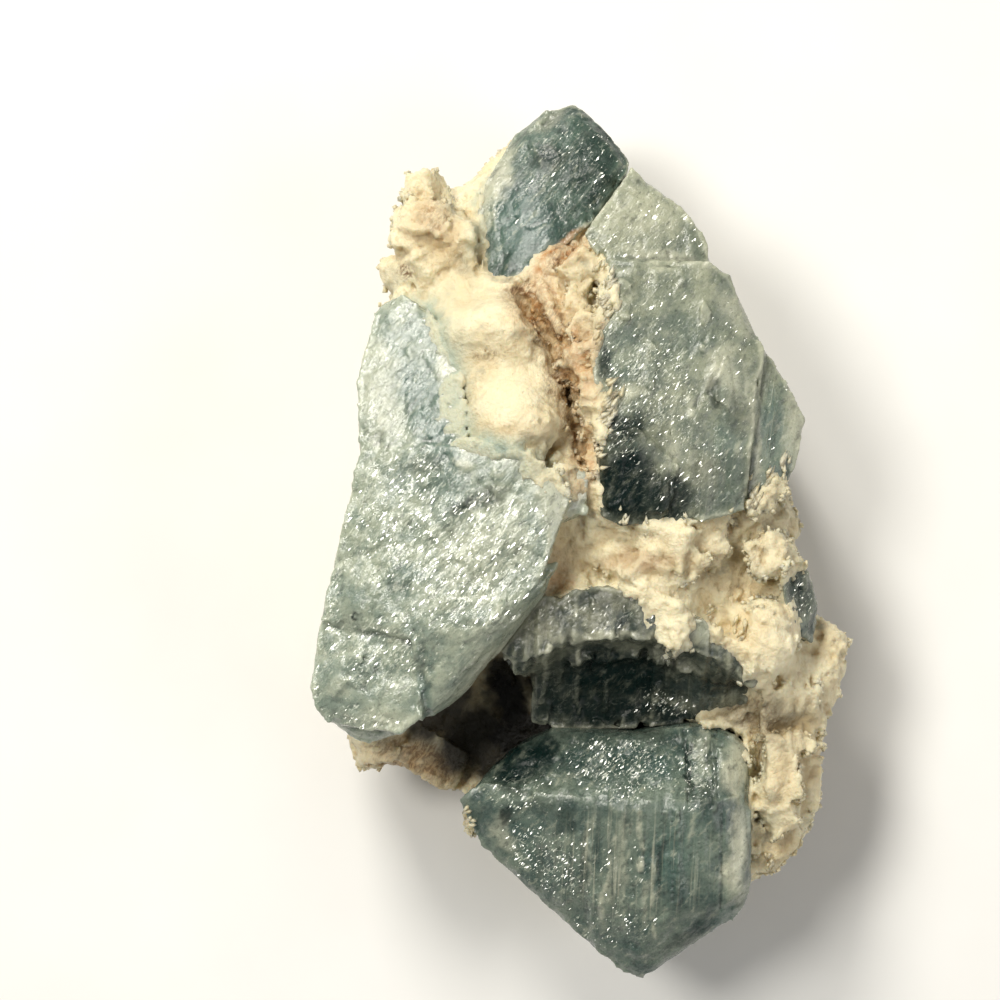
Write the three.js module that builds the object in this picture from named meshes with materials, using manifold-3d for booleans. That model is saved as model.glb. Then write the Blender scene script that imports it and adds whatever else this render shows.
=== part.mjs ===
import * as THREE from 'three';
import { ConvexGeometry } from 'three/addons/geometries/ConvexGeometry.js';
import { ImprovedNoise } from 'three/addons/math/ImprovedNoise.js';
import { mergeVertices } from 'three/addons/utils/BufferGeometryUtils.js';
import Module from 'manifold-3d';

// Celestite cluster, lying on its back: blue-grey crystals in a cream granular matrix.
// Millimetres. +Z is up out of the crystal face, +Y runs towards the upper pointed end,
// +X towards the blocky right-hand side. The whole is moved at the end so that the origin lies
// under the middle of its box.

const wasm = await Module();
wasm.setup();

// ---------------------------------------------------------------- driving dimensions

const SEAM = 0.35;              // clearance that every crystal keeps to the rock and to its neighbours
const SHAFT_SPREAD = 0.55;      // a shaft's corners move out by this, which moves its walls by the seam
const LIFT = 60;                // height that clears the whole specimen, for cutting tools
const SHORTEST_EDGE = 0.02;     // shorter edges are merged away where solids are joined or cut

// The rock is a pillow between its underside and its upper surface.
const ROCK_SECTORS = 56;
const ROCK_RINGS = 20;
const ROCK_CENTRE = [1, -1];
const ROCK_SQUARENESS = 3.4;    // 2 is a round edge, higher is a squarer one
const ROCK_COARSE = { size: 8.5, height: 2.6 };
const ROCK_FINE = { size: 3.1, height: 0.9 };

const ROCK_OUTLINE = [
  [0, 47.5], [4.5, 44], [9, 39], [12.5, 33], [16, 27.5], [19.5, 21.5], [22.8, 16], [24.3, 11], [24, 6],
  [26.2, 2.6], [27, -0.5], [27, -5], [29.4, -10], [32, -13.5], [31.4, -17], [29.8, -20.2], [30.3, -24],
  [29.4, -28.5], [28, -32], [26.4, -36.5], [23.5, -39.6], [19.5, -40.5], [15, -43], [9, -47], [4, -46],
  [-3, -40], [-8, -36.5], [-12, -37], [-14.2, -37], [-13.7, -33.5], [-12.9, -30.5], [-15.6, -30.4],
  [-20.5, -27.8], [-24.5, -25.2], [-27.5, -22], [-29, -17], [-28.4, -12], [-27, -6], [-25.6, 0],
  [-24, 7], [-23.6, 14], [-23.6, 21], [-22.4, 27], [-22.6, 31.5], [-20.4, 34.5], [-18.8, 38.5],
  [-16.4, 41.8], [-13.6, 44.4], [-10.6, 47.2], [-5.5, 48.6],
];

// Height of the widest line of the rock, and of its upper surface, at hand-picked places.
const RIM_HEIGHTS = [
  { at: [0, 48], z: 14 }, { at: [26, 5], z: 18 }, { at: [31, -15], z: 17 }, { at: [27, -35], z: 13 },
  { at: [5, -46], z: 9 }, { at: [-14, -36], z: 15 }, { at: [-20, -28], z: 13 }, { at: [-28, -15], z: 15 },
  { at: [-24, 12], z: 18 }, { at: [-22, 31], z: 20 },
];
const TOP_HEIGHTS = [
  { at: [-2, 44], z: 17 }, { at: [-14, 42], z: 25 }, { at: [-16, 37], z: 28 }, { at: [-20, 32], z: 27 },
  { at: [-13, 31], z: 31 }, { at: [-8, 26], z: 35 }, { at: [-8, 18], z: 37 }, { at: [-10, 12], z: 34 },
  { at: [1.5, 33], z: 33 }, { at: [0.5, 20], z: 35.5 }, { at: [1, 8], z: 34 }, { at: [0, 0], z: 32.5 },
  { at: [-3.5, -5], z: 32 }, { at: [10, -1], z: 33 }, { at: [20, 0], z: 31 }, { at: [22, -7], z: 29.5 },
  { at: [26, -6], z: 24 }, { at: [-8, -19], z: 14 }, { at: [4, -24], z: 15 },
  { at: [22, -14], z: 31 }, { at: [28, -15], z: 24 }, { at: [25, -22], z: 26 }, { at: [24, -30], z: 25 },
  { at: [24, -37], z: 21 }, { at: [29, -26], z: 20 }, { at: [5, -34], z: 13 }, { at: [0, -42], z: 10 },
  { at: [12, -42], z: 12 }, { at: [-7, -22], z: 13 }, { at: [-12, -27], z: 13 }, { at: [-18, -27], z: 17 },
  { at: [-20, 0], z: 24 }, { at: [-24, -16], z: 18 }, { at: [-18, 15], z: 26 }, { at: [12, 15], z: 25 },
  { at: [20, 14], z: 24 }, { at: [9, 33], z: 24 }, { at: [4, -11], z: 28 }, { at: [15, -16], z: 26 },
  { at: [2, -20], z: 17 },
];
// Height of the underside. Where it dips below zero the rock is cut flat to rest on.
const UNDER_HEIGHTS = [
  { at: [0, 0], z: -3 }, { at: [-9, 18], z: -3 }, { at: [8, -18], z: -3 }, { at: [-12, -8], z: -2 },
  { at: [12, 10], z: -1 }, { at: [0, -32], z: -1 }, { at: [-4, 32], z: -1 }, { at: [-3, 46], z: 7 },
  { at: [4, -44], z: 4 }, { at: [28, -20], z: 6 }, { at: [-26, -18], z: 6 }, { at: [22, 16], z: 8 },
  { at: [-22, 28], z: 9 }, { at: [10, 36], z: 9 }, { at: [-12, -34], z: 6 }, { at: [25, -36], z: 6 },
  { at: [-24, 4], z: 4 },
];
const HEIGHT_REACH = 5;         // how far each of those heights is felt

// Rounded, half-clear lumps of the rock: centre, half sizes.
const LUMPS = [
  { at: [-7, 14.5, 34.5], half: [5.2, 4.8, 5.4] },
  { at: [-9, 24.5, 33], half: [6.2, 4, 4.6] },
  { at: [-18, 32, 24.5], half: [5.4, 3.6, 4.6] },
  { at: [21.4, -11.6, 28], half: [4.4, 5, 4.2] },
  { at: [30, -13.5, 19], half: [3, 3.6, 3.4] },
];

// Ledges that step down the right-hand side of the rock, given as the crystals' blocks are.
const LEDGES = [
  { top: [[21.4, -17.4, 28.8], [29.4, -18, 24.4], [30, -22.8, 22.4], [21.6, -23.4, 26.8]],
    root: 9, taper: 0.1 },
  { top: [[22.2, -22.4, 28.2], [25.8, -23, 27.6], [26.6, -30, 26.6], [22.8, -31, 27.2]],
    root: 10, taper: 0.1 },
  { top: [[25.6, -22.4, 24], [29.6, -24, 22.4], [28.9, -31.4, 21.4], [26.6, -36, 20.8], [25.4, -30, 23.4]],
    root: 7, taper: 0.1 },
  { top: [[22.6, -31, 25], [26.8, -31.4, 24], [26.6, -36.4, 22.4], [23.6, -39.6, 21.4], [21.4, -39, 23]],
    root: 8, taper: 0.1 },
  { top: [[-26.6, -22.6, 18.6], [-22, -25.4, 18], [-17, -29.8, 16.4], [-14.6, -30.2, 15.4], [-13, -26, 17],
    [-20, -21, 20]], root: 7, taper: 0.14 },
];

// Angular grains of the rock: regions where they stand, how many, and their size range.
const GRAIN_FIELDS = [
  { from: [23, -37], to: [28, -20], count: 5, size: [3, 4.6] },
  { from: [8, -3], to: [25, 1], count: 8, size: [3.4, 5.6] },
  { from: [-0.5, 7], to: [1.6, 34], count: 7, size: [2.6, 4.4] },
  { from: [-19, 32], to: [-13, 43], count: 6, size: [3.4, 5.6] },
  { from: [-26, -25], to: [-16, -24], count: 3, size: [3, 5] },
];

const GRAIN_CORNERS = [-1, 1].flatMap((x) => [-1, 1].flatMap((y) => [[x, y, -1], [x, y, 1]]));

// The crevice runs down the middle of the rock: centre line with width and floor height.
const CREVICE = [
  { at: [-1.6, 36.4], wide: 1.2, floor: 31 }, { at: [-4.4, 32.8], wide: 2, floor: 29.5 },
  { at: [-6.8, 29.6], wide: 2.6, floor: 29 }, { at: [-5, 26], wide: 2.4, floor: 29 },
  { at: [-3.2, 23], wide: 2, floor: 30 }, { at: [-1.8, 19.6], wide: 2.2, floor: 30 },
  { at: [-0.8, 16], wide: 1.8, floor: 30.5 }, { at: [0.4, 10.6], wide: 1.6, floor: 31 },
  { at: [1, 5.6], wide: 1.4, floor: 31 }, { at: [0, 1], wide: 1.2, floor: 31 },
];

// The hollow under the arched lip of the middle crystal: a half egg, whose rim draws the arch.
const ARCH = { at: [5, -24, 34], half: [20, 13, 12.6], rings: 12 };
// Columns that stand against the wall of that hollow: the sweep of the arch that they fill, in radians,
// how many, how large, how high their tops are and how far these rise at one corner, the share of the
// arch's size at which they stand, and their section.
const COLUMNS = {
  from: 0.6, to: 2.5, count: 13, long: [2, 3.6], thick: [2, 3.4], top: [24, 29.4], rise: [0.4, 1.6],
  sink: 0.87, section: [[-1, -1], [1, -0.8], [0.9, 1], [-0.8, 0.9]],
};

// Each crystal is a union of cleavage blocks. A block is given by the corners of its upper face;
// its root lies at height root, drawn in towards the middle by the share taper.
const CRYSTALS = {
  crystal_right: {
    colour: '#75878a',
    blocks: [
      { // main slab, between the ledge and the groove
        top: [[3.6, 33, 35.6], [14.9, 33, 34.6], [17.7, 31.2, 34], [19.2, 27.2, 34], [21.7, 22.6, 33.6],
          [20.6, 12, 34.4], [19.3, 3.9, 33.4], [14.2, 2.5, 34.2], [4.9, 2.1, 35.4], [2.4, 3.2, 35.6],
          [2.6, 12, 37.4], [1.6, 22.6, 37.2]],
        root: 11, taper: 0.1,
      },
      { // upper part above the ledge
        top: [[6.3, 44.1, 31.2], [8.4, 42.4, 31.2], [11.9, 39.5, 31.6], [14.6, 36.2, 32], [15.3, 34.8, 32.2],
          [15.4, 31.7, 32.6], [3.2, 31.5, 34.4], [0.7, 36, 33.8], [3.9, 39.4, 32.8]],
        root: 13, taper: 0.12,
      },
      { // narrow strip past the groove
        top: [[20.9, 24, 32.4], [23, 21.2, 31.6], [24.7, 18.5, 31], [27, 14.4, 29.6], [25.6, 9.1, 30.2],
          [24.4, 6.6, 30.6], [21.2, 2.9, 31.4], [18.9, 4.4, 32.4], [20, 12, 33]],
        root: 10, taper: 0.12,
      },
      { // raised cleavage flake on the dark lower corner
        top: [[3.2, 4, 36.3], [10.6, 3.6, 35.8], [11.8, 9, 36.3], [6.6, 13.4, 37.6], [3.2, 12.6, 38]],
        root: 30, taper: 0,
      },
    ],
    grooves: [
      { from: [21.9, 22.8, 34], to: [19.6, 3.6, 34], wide: 0.7, deep: 1.2 },
      { from: [16, 24, 35.2], to: [14.6, 8, 35.2], wide: 0.6, deep: 0.5 },
      { from: [12.4, 28.4, 35.3], to: [11.4, 18, 36], wide: 0.6, deep: 0.5 },
    ],
  },
  crystal_left: {
    colour: '#93a39e',
    blocks: [
      { // great cleavage face
        top: [[-25.4, 11, 34.4], [-26, 5.1, 34], [-27.6, -0.7, 33.4], [-30.2, -9.2, 32.4], [-19, -11, 36.4],
          [-9.6, -10, 37.2], [-4.6, -4.4, 38], [-3, 2.4, 38.8], [-0.8, 5.1, 38.6], [-2.6, 8.2, 38.8],
          [-7, 10.2, 39.2], [-12.8, 12.2, 38.2]],
        root: 17, taper: 0.14,
      },
      { // milky upper part
        top: [[-25.5, 10, 34], [-25.9, 18.9, 32.6], [-25.1, 22.4, 32], [-23.6, 28, 30.6], [-20.7, 29.2, 30.8],
          [-17.2, 27, 32.6], [-14.4, 23, 34.4], [-13.2, 16.6, 36.4], [-12.7, 9, 37.6]],
        root: 16, taper: 0.12,
      },
      { // lower block, a step down past the groove
        top: [[-30, -8.2, 31.2], [-31.4, -16.9, 31], [-30.8, -19.5, 30.6], [-29.4, -21.4, 30.2],
          [-20.8, -22.3, 32.6], [-18.2, -20, 33.8], [-18.6, -9.6, 35]],
        root: 14, taper: 0.16,
      },
      { // pale bevel running up to the right along the lower edge
        top: [[-19.4, -10, 36.6], [-9.4, -9.2, 37.2], [-4, -4.6, 37.4], [-2.2, -2, 35.4], [-3.8, -5.6, 32.6],
          [-6.8, -9, 31], [-10.2, -14, 30.2], [-13.6, -18.1, 30.2], [-17.2, -20.8, 31.2], [-18.6, -21, 32]],
        root: 22, taper: 0.16,
      },
      { // foot under the lower block
        top: [[-29.6, -20.6, 27], [-26.6, -23.4, 26], [-24.6, -24, 26], [-20.8, -22.6, 27.4],
          [-18.4, -18, 28], [-28, -16, 28]],
        root: 15, taper: 0.1,
      },
      { // small clear blocks at the right corner
        top: [[-2.8, 9.6, 37.6], [1.2, 8.2, 36.4], [1, 3.4, 36.2], [-2.4, 2.4, 37.2]],
        root: 32, taper: 0.05,
      },
    ],
    grooves: [
      { from: [-18.4, -10.6, 36.4], to: [-18.9, -22.4, 33.4], wide: 1, deep: 1.2 },
      { from: [-28.6, -9.6, 32.4], to: [-19, -11.2, 35.4], wide: 0.9, deep: 0.5 },
      { from: [-25.4, 10.4, 34.6], to: [-13.4, 12.6, 37.6], wide: 0.9, deep: 0.5 },
    ],
  },
  crystal_top: {
    colour: '#6f827f',
    blocks: [
      { // body of the point
        top: [[-0.3, 52.7, 22.6], [2.8, 50.3, 23], [6.5, 45.3, 24.2], [5.6, 42, 26], [2, 38, 28],
          [-3.6, 33.2, 30], [-6.8, 31.2, 30], [-10.2, 30.4, 28.6], [-11.5, 32, 27.6], [-11.8, 39.4, 25.6],
          [-10.8, 43, 24.6], [-7.4, 48.9, 22.6], [-3.8, 51.6, 22], [-5, 42, 27.4]],
        root: 7, taper: 0.16,
      },
      { // darker plate at the upper right
        top: [[-0.6, 51.4, 23.8], [2.4, 49.4, 24.2], [5.7, 45, 25.4], [3.4, 42.6, 27], [-4, 43.6, 27.4],
          [-5.8, 48, 24.8]],
        root: 18, taper: 0,
      },
    ],
    grooves: [{ from: [-10.6, 40, 27], to: [-3, 37.6, 29.6], wide: 0.6, deep: 0.6 }],
  },
  crystal_middle: {
    colour: '#5d6f73',
    blocks: [
      { // rough upper face and the body under it
        top: [[-9.4, -11.6, 31], [-5, -6.6, 32.6], [2.6, -4.6, 33.6], [8.4, -6, 33.6], [14.2, -8.9, 32.8],
          [20.6, -13.2, 30.8], [21.8, -16.9, 29.2], [15.2, -16.6, 31], [5, -15, 33.4], [-4, -15.4, 32.2],
          [-7.4, -15.6, 31]],
        root: 9, taper: 0.12,
      },
      { // foot of the wall
        top: [[-5.8, -12, 28], [20.4, -13, 28], [21.2, -19.8, 24], [14.4, -21.4, 22.6], [7.2, -22.2, 22.2],
          [-2.4, -22.2, 21.8], [-5.4, -21.4, 21.6]],
        root: 9, taper: 0.1,
      },
    ],
    grooves: [],
    hollows: [ARCH],
  },
  crystal_bottom: {
    colour: '#6c8084',
    blocks: [
      { // striated body
        top: [[-13.9, -30.6, 25.4], [-11.5, -28.3, 26.4], [-4, -29.4, 30], [7, -30, 31.4], [16.4, -30, 31],
          [20.6, -29.6, 28.6], [21, -41.6, 26.4], [18.6, -45, 24], [14.4, -47.3, 23.4], [8.1, -52.4, 21.8],
          [5.1, -51.3, 21.6], [-3.2, -43.9, 22.6], [-8.4, -38.6, 23.4], [-11.4, -36.2, 23.8], [8, -46, 26.6],
          [16, -42, 28]],
        root: 7, taper: 0.2,
      },
      { // glittering upper slope and the dark facet beside it
        top: [[-12.4, -29.2, 25.6], [-7.4, -24.4, 23.4], [-2.6, -22.2, 22.4], [7.5, -21.7, 24],
          [16.8, -21.8, 24.4], [20.2, -24.2, 23.6], [20.6, -30, 28], [16, -30.4, 31], [7, -30.6, 31.4],
          [-4, -30, 30]],
        root: 9, taper: 0.1,
      },
      { // pale column at the right
        top: [[15.8, -22.2, 26.4], [18.6, -22.8, 26.4], [20.4, -24.6, 25.4], [20.9, -41.4, 27],
          [17.4, -43, 27.6], [15.8, -30, 31.4]],
        root: 12, taper: 0,
      },
    ],
    grooves: [],
  },
  crystal_edge: {
    colour: '#52656c',
    blocks: [
      {
        top: [[25.2, -0.8, 28.4], [27.6, -3.4, 26.4], [28.9, -8, 25.4], [28.2, -12, 25.6], [25.8, -11, 28.4],
          [24, -5, 29.8]],
        root: 13, taper: 0.1,
      },
    ],
    grooves: [],
  },
};

// Where two crystals meet, the later one in this order is cut back by the earlier ones.
const GROWTH_ORDER = [
  'crystal_left', 'crystal_right', 'crystal_top', 'crystal_middle', 'crystal_bottom', 'crystal_edge',
];

const RIB_ROOT = 3;             // how far a rib reaches into the crystal under its edge lines
const COLUMN_ROOT = 16;         // height of a column's foot, inside the crystal
const PLATE_ROOT = 4;           // how far a plate reaches into its block
const FLAKE_ROOT = 1;           // how far a flake reaches into the face under it
// Raised ribs along a crystal: from one edge of a face to the other, side by side.
const RIBS = {
  crystal_bottom: {
    start: [[-5, -31.2], [15.6, -31.2]], end: [[-2.6, -43], [15.2, -43.6]], count: 13, runs: 2,
    raise: [0.1, 0.8],
  },
};

// Thin cleavage flakes that stand on the upper faces: where, how many, how large, and their direction.
const FLAKES = {
  crystal_middle: {
    from: [-6, -11.4], to: [16, -6], count: 9, long: [2.5, 5], wide: [1, 2], turn: 1.5, raise: [0.3, 0.7],
  },
  crystal_left: {
    from: [-29, -19], to: [-3, 26], count: 20, long: [4, 9], wide: [1.2, 2.8], turn: 0.95, raise: [0.3, 0.7],
  },
  crystal_right: {
    from: [4, 5], to: [25, 41], count: 16, long: [4, 9], wide: [1.2, 2.6], turn: 1.5, raise: [0.3, 0.7],
  },
  crystal_top: {
    from: [-10, 33], to: [4, 50], count: 6, long: [3, 6], wide: [1, 2.2], turn: 0.9, raise: [0.3, 0.6],
  },
  crystal_bottom: {
    from: [-11, -30], to: [15, -23], count: 8, long: [2.5, 5], wide: [1, 1.8], turn: 1.5, raise: [0.3, 0.6],
  },
};
const FLAKE_OUTLINE = [[-1, -0.6], [-0.7, 1], [0.8, 1], [1, 0.3], [0.7, -1]];
const FLAKE_RIM = 1.3;          // the face has to reach this many times as far as the flake
const FLAKE_RELIEF = 2.2;       // a flake is left out where the face under it changes more than this

// Cleavage plates that stand out of the side walls of a crystal's large blocks.
const PLATE_DEPTH = [0.2, 1];
const PLATE_SIDES = ['crystal_left', 'crystal_right', 'crystal_top', 'crystal_bottom'];
const PLATE_SHORTEST = 4;       // wall edges shorter than this carry no plate

// ---------------------------------------------------------------- seeded chance and smooth fields

const noise = new ImprovedNoise();

function chance(seed) {
  let state = seed;
  return (low, high) => {
    state = (state * 1664525 + 1013904223) % 4294967296;
    return low + (high - low) * state / 4294967296;
  };
}

// Height at x, y, blended from the hand-picked places around it.
function heightFrom(places, x, y, reach) {
  let total = 0;
  let weights = 0;
  for (const { at, z } of places) {
    const distance = Math.hypot(x - at[0], y - at[1]) / reach;
    const weight = 1 / (0.02 + distance ** 4);
    total += weight * z;
    weights += weight;
  }
  return total / weights;
}

function wobble(x, y, z, { size, height }) {
  return new THREE.Vector3(
    noise.noise(x / size + 11.3, y / size, z / size),
    noise.noise(x / size, y / size + 27.1, z / size),
    noise.noise(x / size, y / size, z / size + 43.7),
  ).multiplyScalar(height);
}

// ---------------------------------------------------------------- solids

function toSolid(geometry) {
  const bare = geometry.clone();
  bare.deleteAttribute('normal');
  bare.deleteAttribute('uv');
  const merged = mergeVertices(bare, 1e-4);
  return new wasm.Manifold(new wasm.Mesh({
    numProp: 3,
    vertProperties: new Float32Array(merged.attributes.position.array),
    triVerts: new Uint32Array(merged.index.array),
    tolerance: SHORTEST_EDGE,
  }));
}

function toGeometry(solid) {
  const { vertProperties, triVerts } = solid.getMesh();
  const geometry = new THREE.BufferGeometry();
  geometry.setAttribute('position', new THREE.BufferAttribute(vertProperties, 3));
  geometry.setIndex(new THREE.BufferAttribute(triVerts, 1));
  geometry.computeVertexNormals();
  return geometry;
}

// The main body of a solid, without the crumbs that a cut leaves loose or shut in.
function mainBody(solid) {
  return solid.decompose().sort((one, other) => other.volume() - one.volume())[0];
}

function hull(points) {
  return new ConvexGeometry(points.map((point) => new THREE.Vector3(...point)));
}

function join(solids) {
  return solids.reduce((whole, solid) => whole.add(solid));
}

// Points moved away from their middle by margin, so that their hull takes in the old one.
function spreadOut(points, margin) {
  const middle = new THREE.Vector3();
  points.forEach((point) => middle.add(new THREE.Vector3(...point).divideScalar(points.length)));
  return points.map((point) => {
    const place = new THREE.Vector3(...point);
    return place.add(place.clone().sub(middle).setLength(margin)).toArray();
  });
}

function blockMiddle({ top }) {
  const middle = new THREE.Vector2();
  top.forEach(([x, y]) => middle.add(new THREE.Vector2(x, y).divideScalar(top.length)));
  return middle;
}

function blockFoot(block) {
  const middle = blockMiddle(block);
  const { top, root, taper } = block;
  return top.map(([x, y]) => [x + (middle.x - x) * taper, y + (middle.y - y) * taper, root]);
}

function cleavageBlock(block) {
  return hull([...block.top, ...blockFoot(block)]);
}

// A V-shaped cut whose upper edges lie wide apart, from one point to another.
function groove({ from, to, wide, deep }) {
  const along = new THREE.Vector2(to[0] - from[0], to[1] - from[1]).normalize();
  const across = [-along.y * wide / 2, along.x * wide / 2];
  const section = ([x, y, z], step) => {
    const px = x + along.x * step;
    const py = y + along.y * step;
    return [
      [px, py, z - deep],
      [px + across[0], py + across[1], z + 2],
      [px - across[0], py - across[1], z + 2],
    ];
  };
  return toSolid(hull([...section(from, -0.5), ...section(to, 0.5)]));
}

// One column against the wall of the arch, at a share of its sweep.
function column(index, random) {
  const { from, to, count, long, thick, top, rise, sink, section } = COLUMNS;
  const angle = from + (to - from) * (index + random(0.2, 0.8)) / count;
  const centre = new THREE.Vector2(Math.cos(angle) * ARCH.half[0], Math.sin(angle) * ARCH.half[1]);
  centre.multiplyScalar(sink).add(new THREE.Vector2(ARCH.at[0], ARCH.at[1]));
  const half = [random(...thick) / 2, random(...long) / 2];
  const corners = section.map(([across, along]) => (
    new THREE.Vector2(across * half[0], along * half[1])
      .rotateAround(new THREE.Vector2(), angle - Math.PI / 2).add(centre)
  ));
  const height = random(...top);
  const slant = random(...rise);
  const tops = corners.map(({ x, y }, corner) => [x, y, height + slant * (corner % 2)]);
  return hull([...tops, ...corners.map(({ x, y }) => [x, y, COLUMN_ROOT])]);
}

// One plate on the wall under the edge from corner to next.
function sidePlate(block, corner, next, random) {
  const middle = blockMiddle(block);
  const shares = [random(0.02, 0.3), random(0.6, 0.98)];
  const depth = random(...PLATE_DEPTH);
  const lowest = Math.min(corner[2], next[2]);
  const level = (share) => block.root + (lowest - block.root) * share;
  const heights = [level(random(0.1, 0.4)), level(random(0.6, 0.92))];
  return shares.flatMap((share) => [depth, depth + PLATE_ROOT].flatMap((inward) => {
    const place = new THREE.Vector3(...corner).lerp(new THREE.Vector3(...next), share);
    const step = new THREE.Vector3(middle.x - place.x, middle.y - place.y, 0).setLength(inward);
    return heights.map((z) => [place.x + step.x, place.y + step.y, z]);
  }));
}

function sidePlates(block, random) {
  return block.top.flatMap((corner, index) => {
    const next = block.top[(index + 1) % block.top.length];
    const length = Math.hypot(next[0] - corner[0], next[1] - corner[1]);
    return length > PLATE_SHORTEST ? [sidePlate(block, corner, next, random)] : [];
  });
}

// The place on a body straight under x, y, if the body reaches there.
function hitAt(body, { x, y }) {
  const ray = new THREE.Raycaster(new THREE.Vector3(x, y, LIFT), new THREE.Vector3(0, 0, -1));
  return ray.intersectObject(body)[0];
}

// One rib out of a fan of parallel ribs between a start line and an end line, laid on the face in runs.
function rib(body, { start, end, raise, count, runs }, index, random) {
  const sides = [(index + random(0.1, 0.5)) / count, (index + random(0.7, 1)) / count];
  const lift = random(...raise);
  const edgePoint = (edge, side) => new THREE.Vector2(...edge[0]).lerp(new THREE.Vector2(...edge[1]), side);
  const stations = Array.from({ length: runs + 1 }, (_, station) => sides.map((side) => (
    hitAt(body, edgePoint(start, side).lerp(edgePoint(end, side), station / runs)).point
  )));
  return stations.slice(1).map((station, run) => hull([...stations[run], ...station].flatMap(
    ({ x, y, z }) => [[x, y, z + lift], [x, y, z - RIB_ROOT]],
  )));
}

// One flake laid on the face of a crystal, or nothing where it wouldn't lie flat.
function flake(body, { from, to, long, wide, turn, raise }, random) {
  const centre = new THREE.Vector2(random(from[0], to[0]), random(from[1], to[1]));
  const length = random(...long) / 2;
  const width = random(...wide) / 2;
  const angle = turn + random(-0.15, 0.15);
  const lift = random(...raise);
  const place = ([along, across], scale) => (
    new THREE.Vector2(along * length * scale, across * width * scale)
      .rotateAround(new THREE.Vector2(), angle).add(centre)
  );
  const rim = FLAKE_OUTLINE.map((corner) => hitAt(body, place(corner, FLAKE_RIM)));
  const hits = FLAKE_OUTLINE.map((corner) => hitAt(body, place(corner, 1)));
  if ([...rim, ...hits].some((hit) => !hit)) return [];
  const heights = hits.map((hit) => hit.point.z);
  if (Math.max(...heights) - Math.min(...heights) > FLAKE_RELIEF) return [];
  return [hull(hits.flatMap(({ point: { x, y, z } }) => [[x, y, z + lift], [x, y, z - FLAKE_ROOT]]))];
}

function crystalParts(name, plates, random) {
  const parts = [...CRYSTALS[name].blocks.map(cleavageBlock), ...plates.map(hull)];
  const body = new THREE.Mesh(toGeometry(join(parts.map(toSolid))));
  for (let index = 0; index < (RIBS[name]?.count ?? 0); index += 1) {
    parts.push(...rib(body, RIBS[name], index, random));
  }
  for (let index = 0; index < (FLAKES[name]?.count ?? 0); index += 1) {
    parts.push(...flake(body, FLAKES[name], random));
  }
  return parts;
}

function crystalSolid(parts, name, random) {
  const { grooves, hollows = [] } = CRYSTALS[name];
  const cuts = [...grooves.map(groove), ...hollows.map(egg)];
  const body = join(parts.map(toSolid));
  const solid = cuts.reduce((rest, cut) => rest.subtract(cut), body);
  if (!hollows.length) return solid;
  const columns = Array.from({ length: COLUMNS.count }, (_, index) => toSolid(column(index, random)));
  return solid.add(join(columns).intersect(body));
}

// What a crystal's neighbours leave free: its blocks and plates with the seam, and all the room above them.
function socket(name, plates) {
  const shafts = CRYSTALS[name].blocks.map((block) => {
    const middle = blockMiddle(block);
    const wider = (corners) => corners.map(([x, y, z]) => {
      const out = new THREE.Vector2(x - middle.x, y - middle.y).setLength(SHAFT_SPREAD);
      return [x + out.x, y + out.y, z];
    });
    const above = block.top.map(([x, y]) => [x, y, LIFT]);
    const below = blockFoot(block).map(([x, y, z]) => [x, y, z - SEAM]);
    return hull(wider([...block.top, ...above, ...below]));
  });
  const slots = plates.map((plate) => hull(spreadOut(plate, SEAM)));
  return join([...shafts, ...slots].map(toSolid));
}

// ---------------------------------------------------------------- the rock

function rockPillow() {
  const outline = new THREE.CatmullRomCurve3(
    ROCK_OUTLINE.map(([x, y]) => new THREE.Vector3(x, y, 0)), true, 'centripetal',
  );
  const geometry = new THREE.SphereGeometry(1, ROCK_SECTORS, ROCK_RINGS);
  const { position, uv } = geometry.attributes;
  for (let index = 0; index < position.count; index += 1) {
    const polar = (1 - uv.getY(index)) * Math.PI;
    const spread = Math.sin(polar);
    const edge = outline.getPoint((1 - uv.getX(index)) % 1);
    const x = ROCK_CENTRE[0] + (edge.x - ROCK_CENTRE[0]) * spread;
    const y = ROCK_CENTRE[1] + (edge.y - ROCK_CENTRE[1]) * spread;
    const rim = heightFrom(RIM_HEIGHTS, edge.x, edge.y, HEIGHT_REACH * 2);
    const plump = (1 - spread ** ROCK_SQUARENESS) ** (1 / ROCK_SQUARENESS);
    const crest = heightFrom(TOP_HEIGHTS, x, y, HEIGHT_REACH);
    const hollow = heightFrom(UNDER_HEIGHTS, x, y, HEIGHT_REACH);
    const z = rim + ((polar < Math.PI / 2 ? crest : hollow) - rim) * plump;
    const place = new THREE.Vector3(x, y, z);
    place.add(wobble(x, y, z, ROCK_COARSE)).add(wobble(x, y, z, ROCK_FINE));
    position.setXYZ(index, place.x, place.y, place.z);
  }
  return toSolid(geometry);
}

// A smooth egg with level rings, to hollow out a crystal.
function egg({ at, half, rings }) {
  const geometry = new THREE.SphereGeometry(1, rings * 2, rings);
  geometry.rotateX(Math.PI / 2);
  geometry.scale(...half);
  geometry.translate(...at);
  return toSolid(geometry);
}

function lump({ at, half }) {
  const geometry = new THREE.IcosahedronGeometry(1, 2);
  const { position } = geometry.attributes;
  for (let index = 0; index < position.count; index += 1) {
    const place = new THREE.Vector3().fromBufferAttribute(position, index);
    place.multiply(new THREE.Vector3(...half)).add(new THREE.Vector3(...at));
    place.add(wobble(place.x, place.y, place.z, ROCK_FINE));
    position.setXYZ(index, place.x, place.y, place.z);
  }
  return toSolid(geometry);
}

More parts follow.
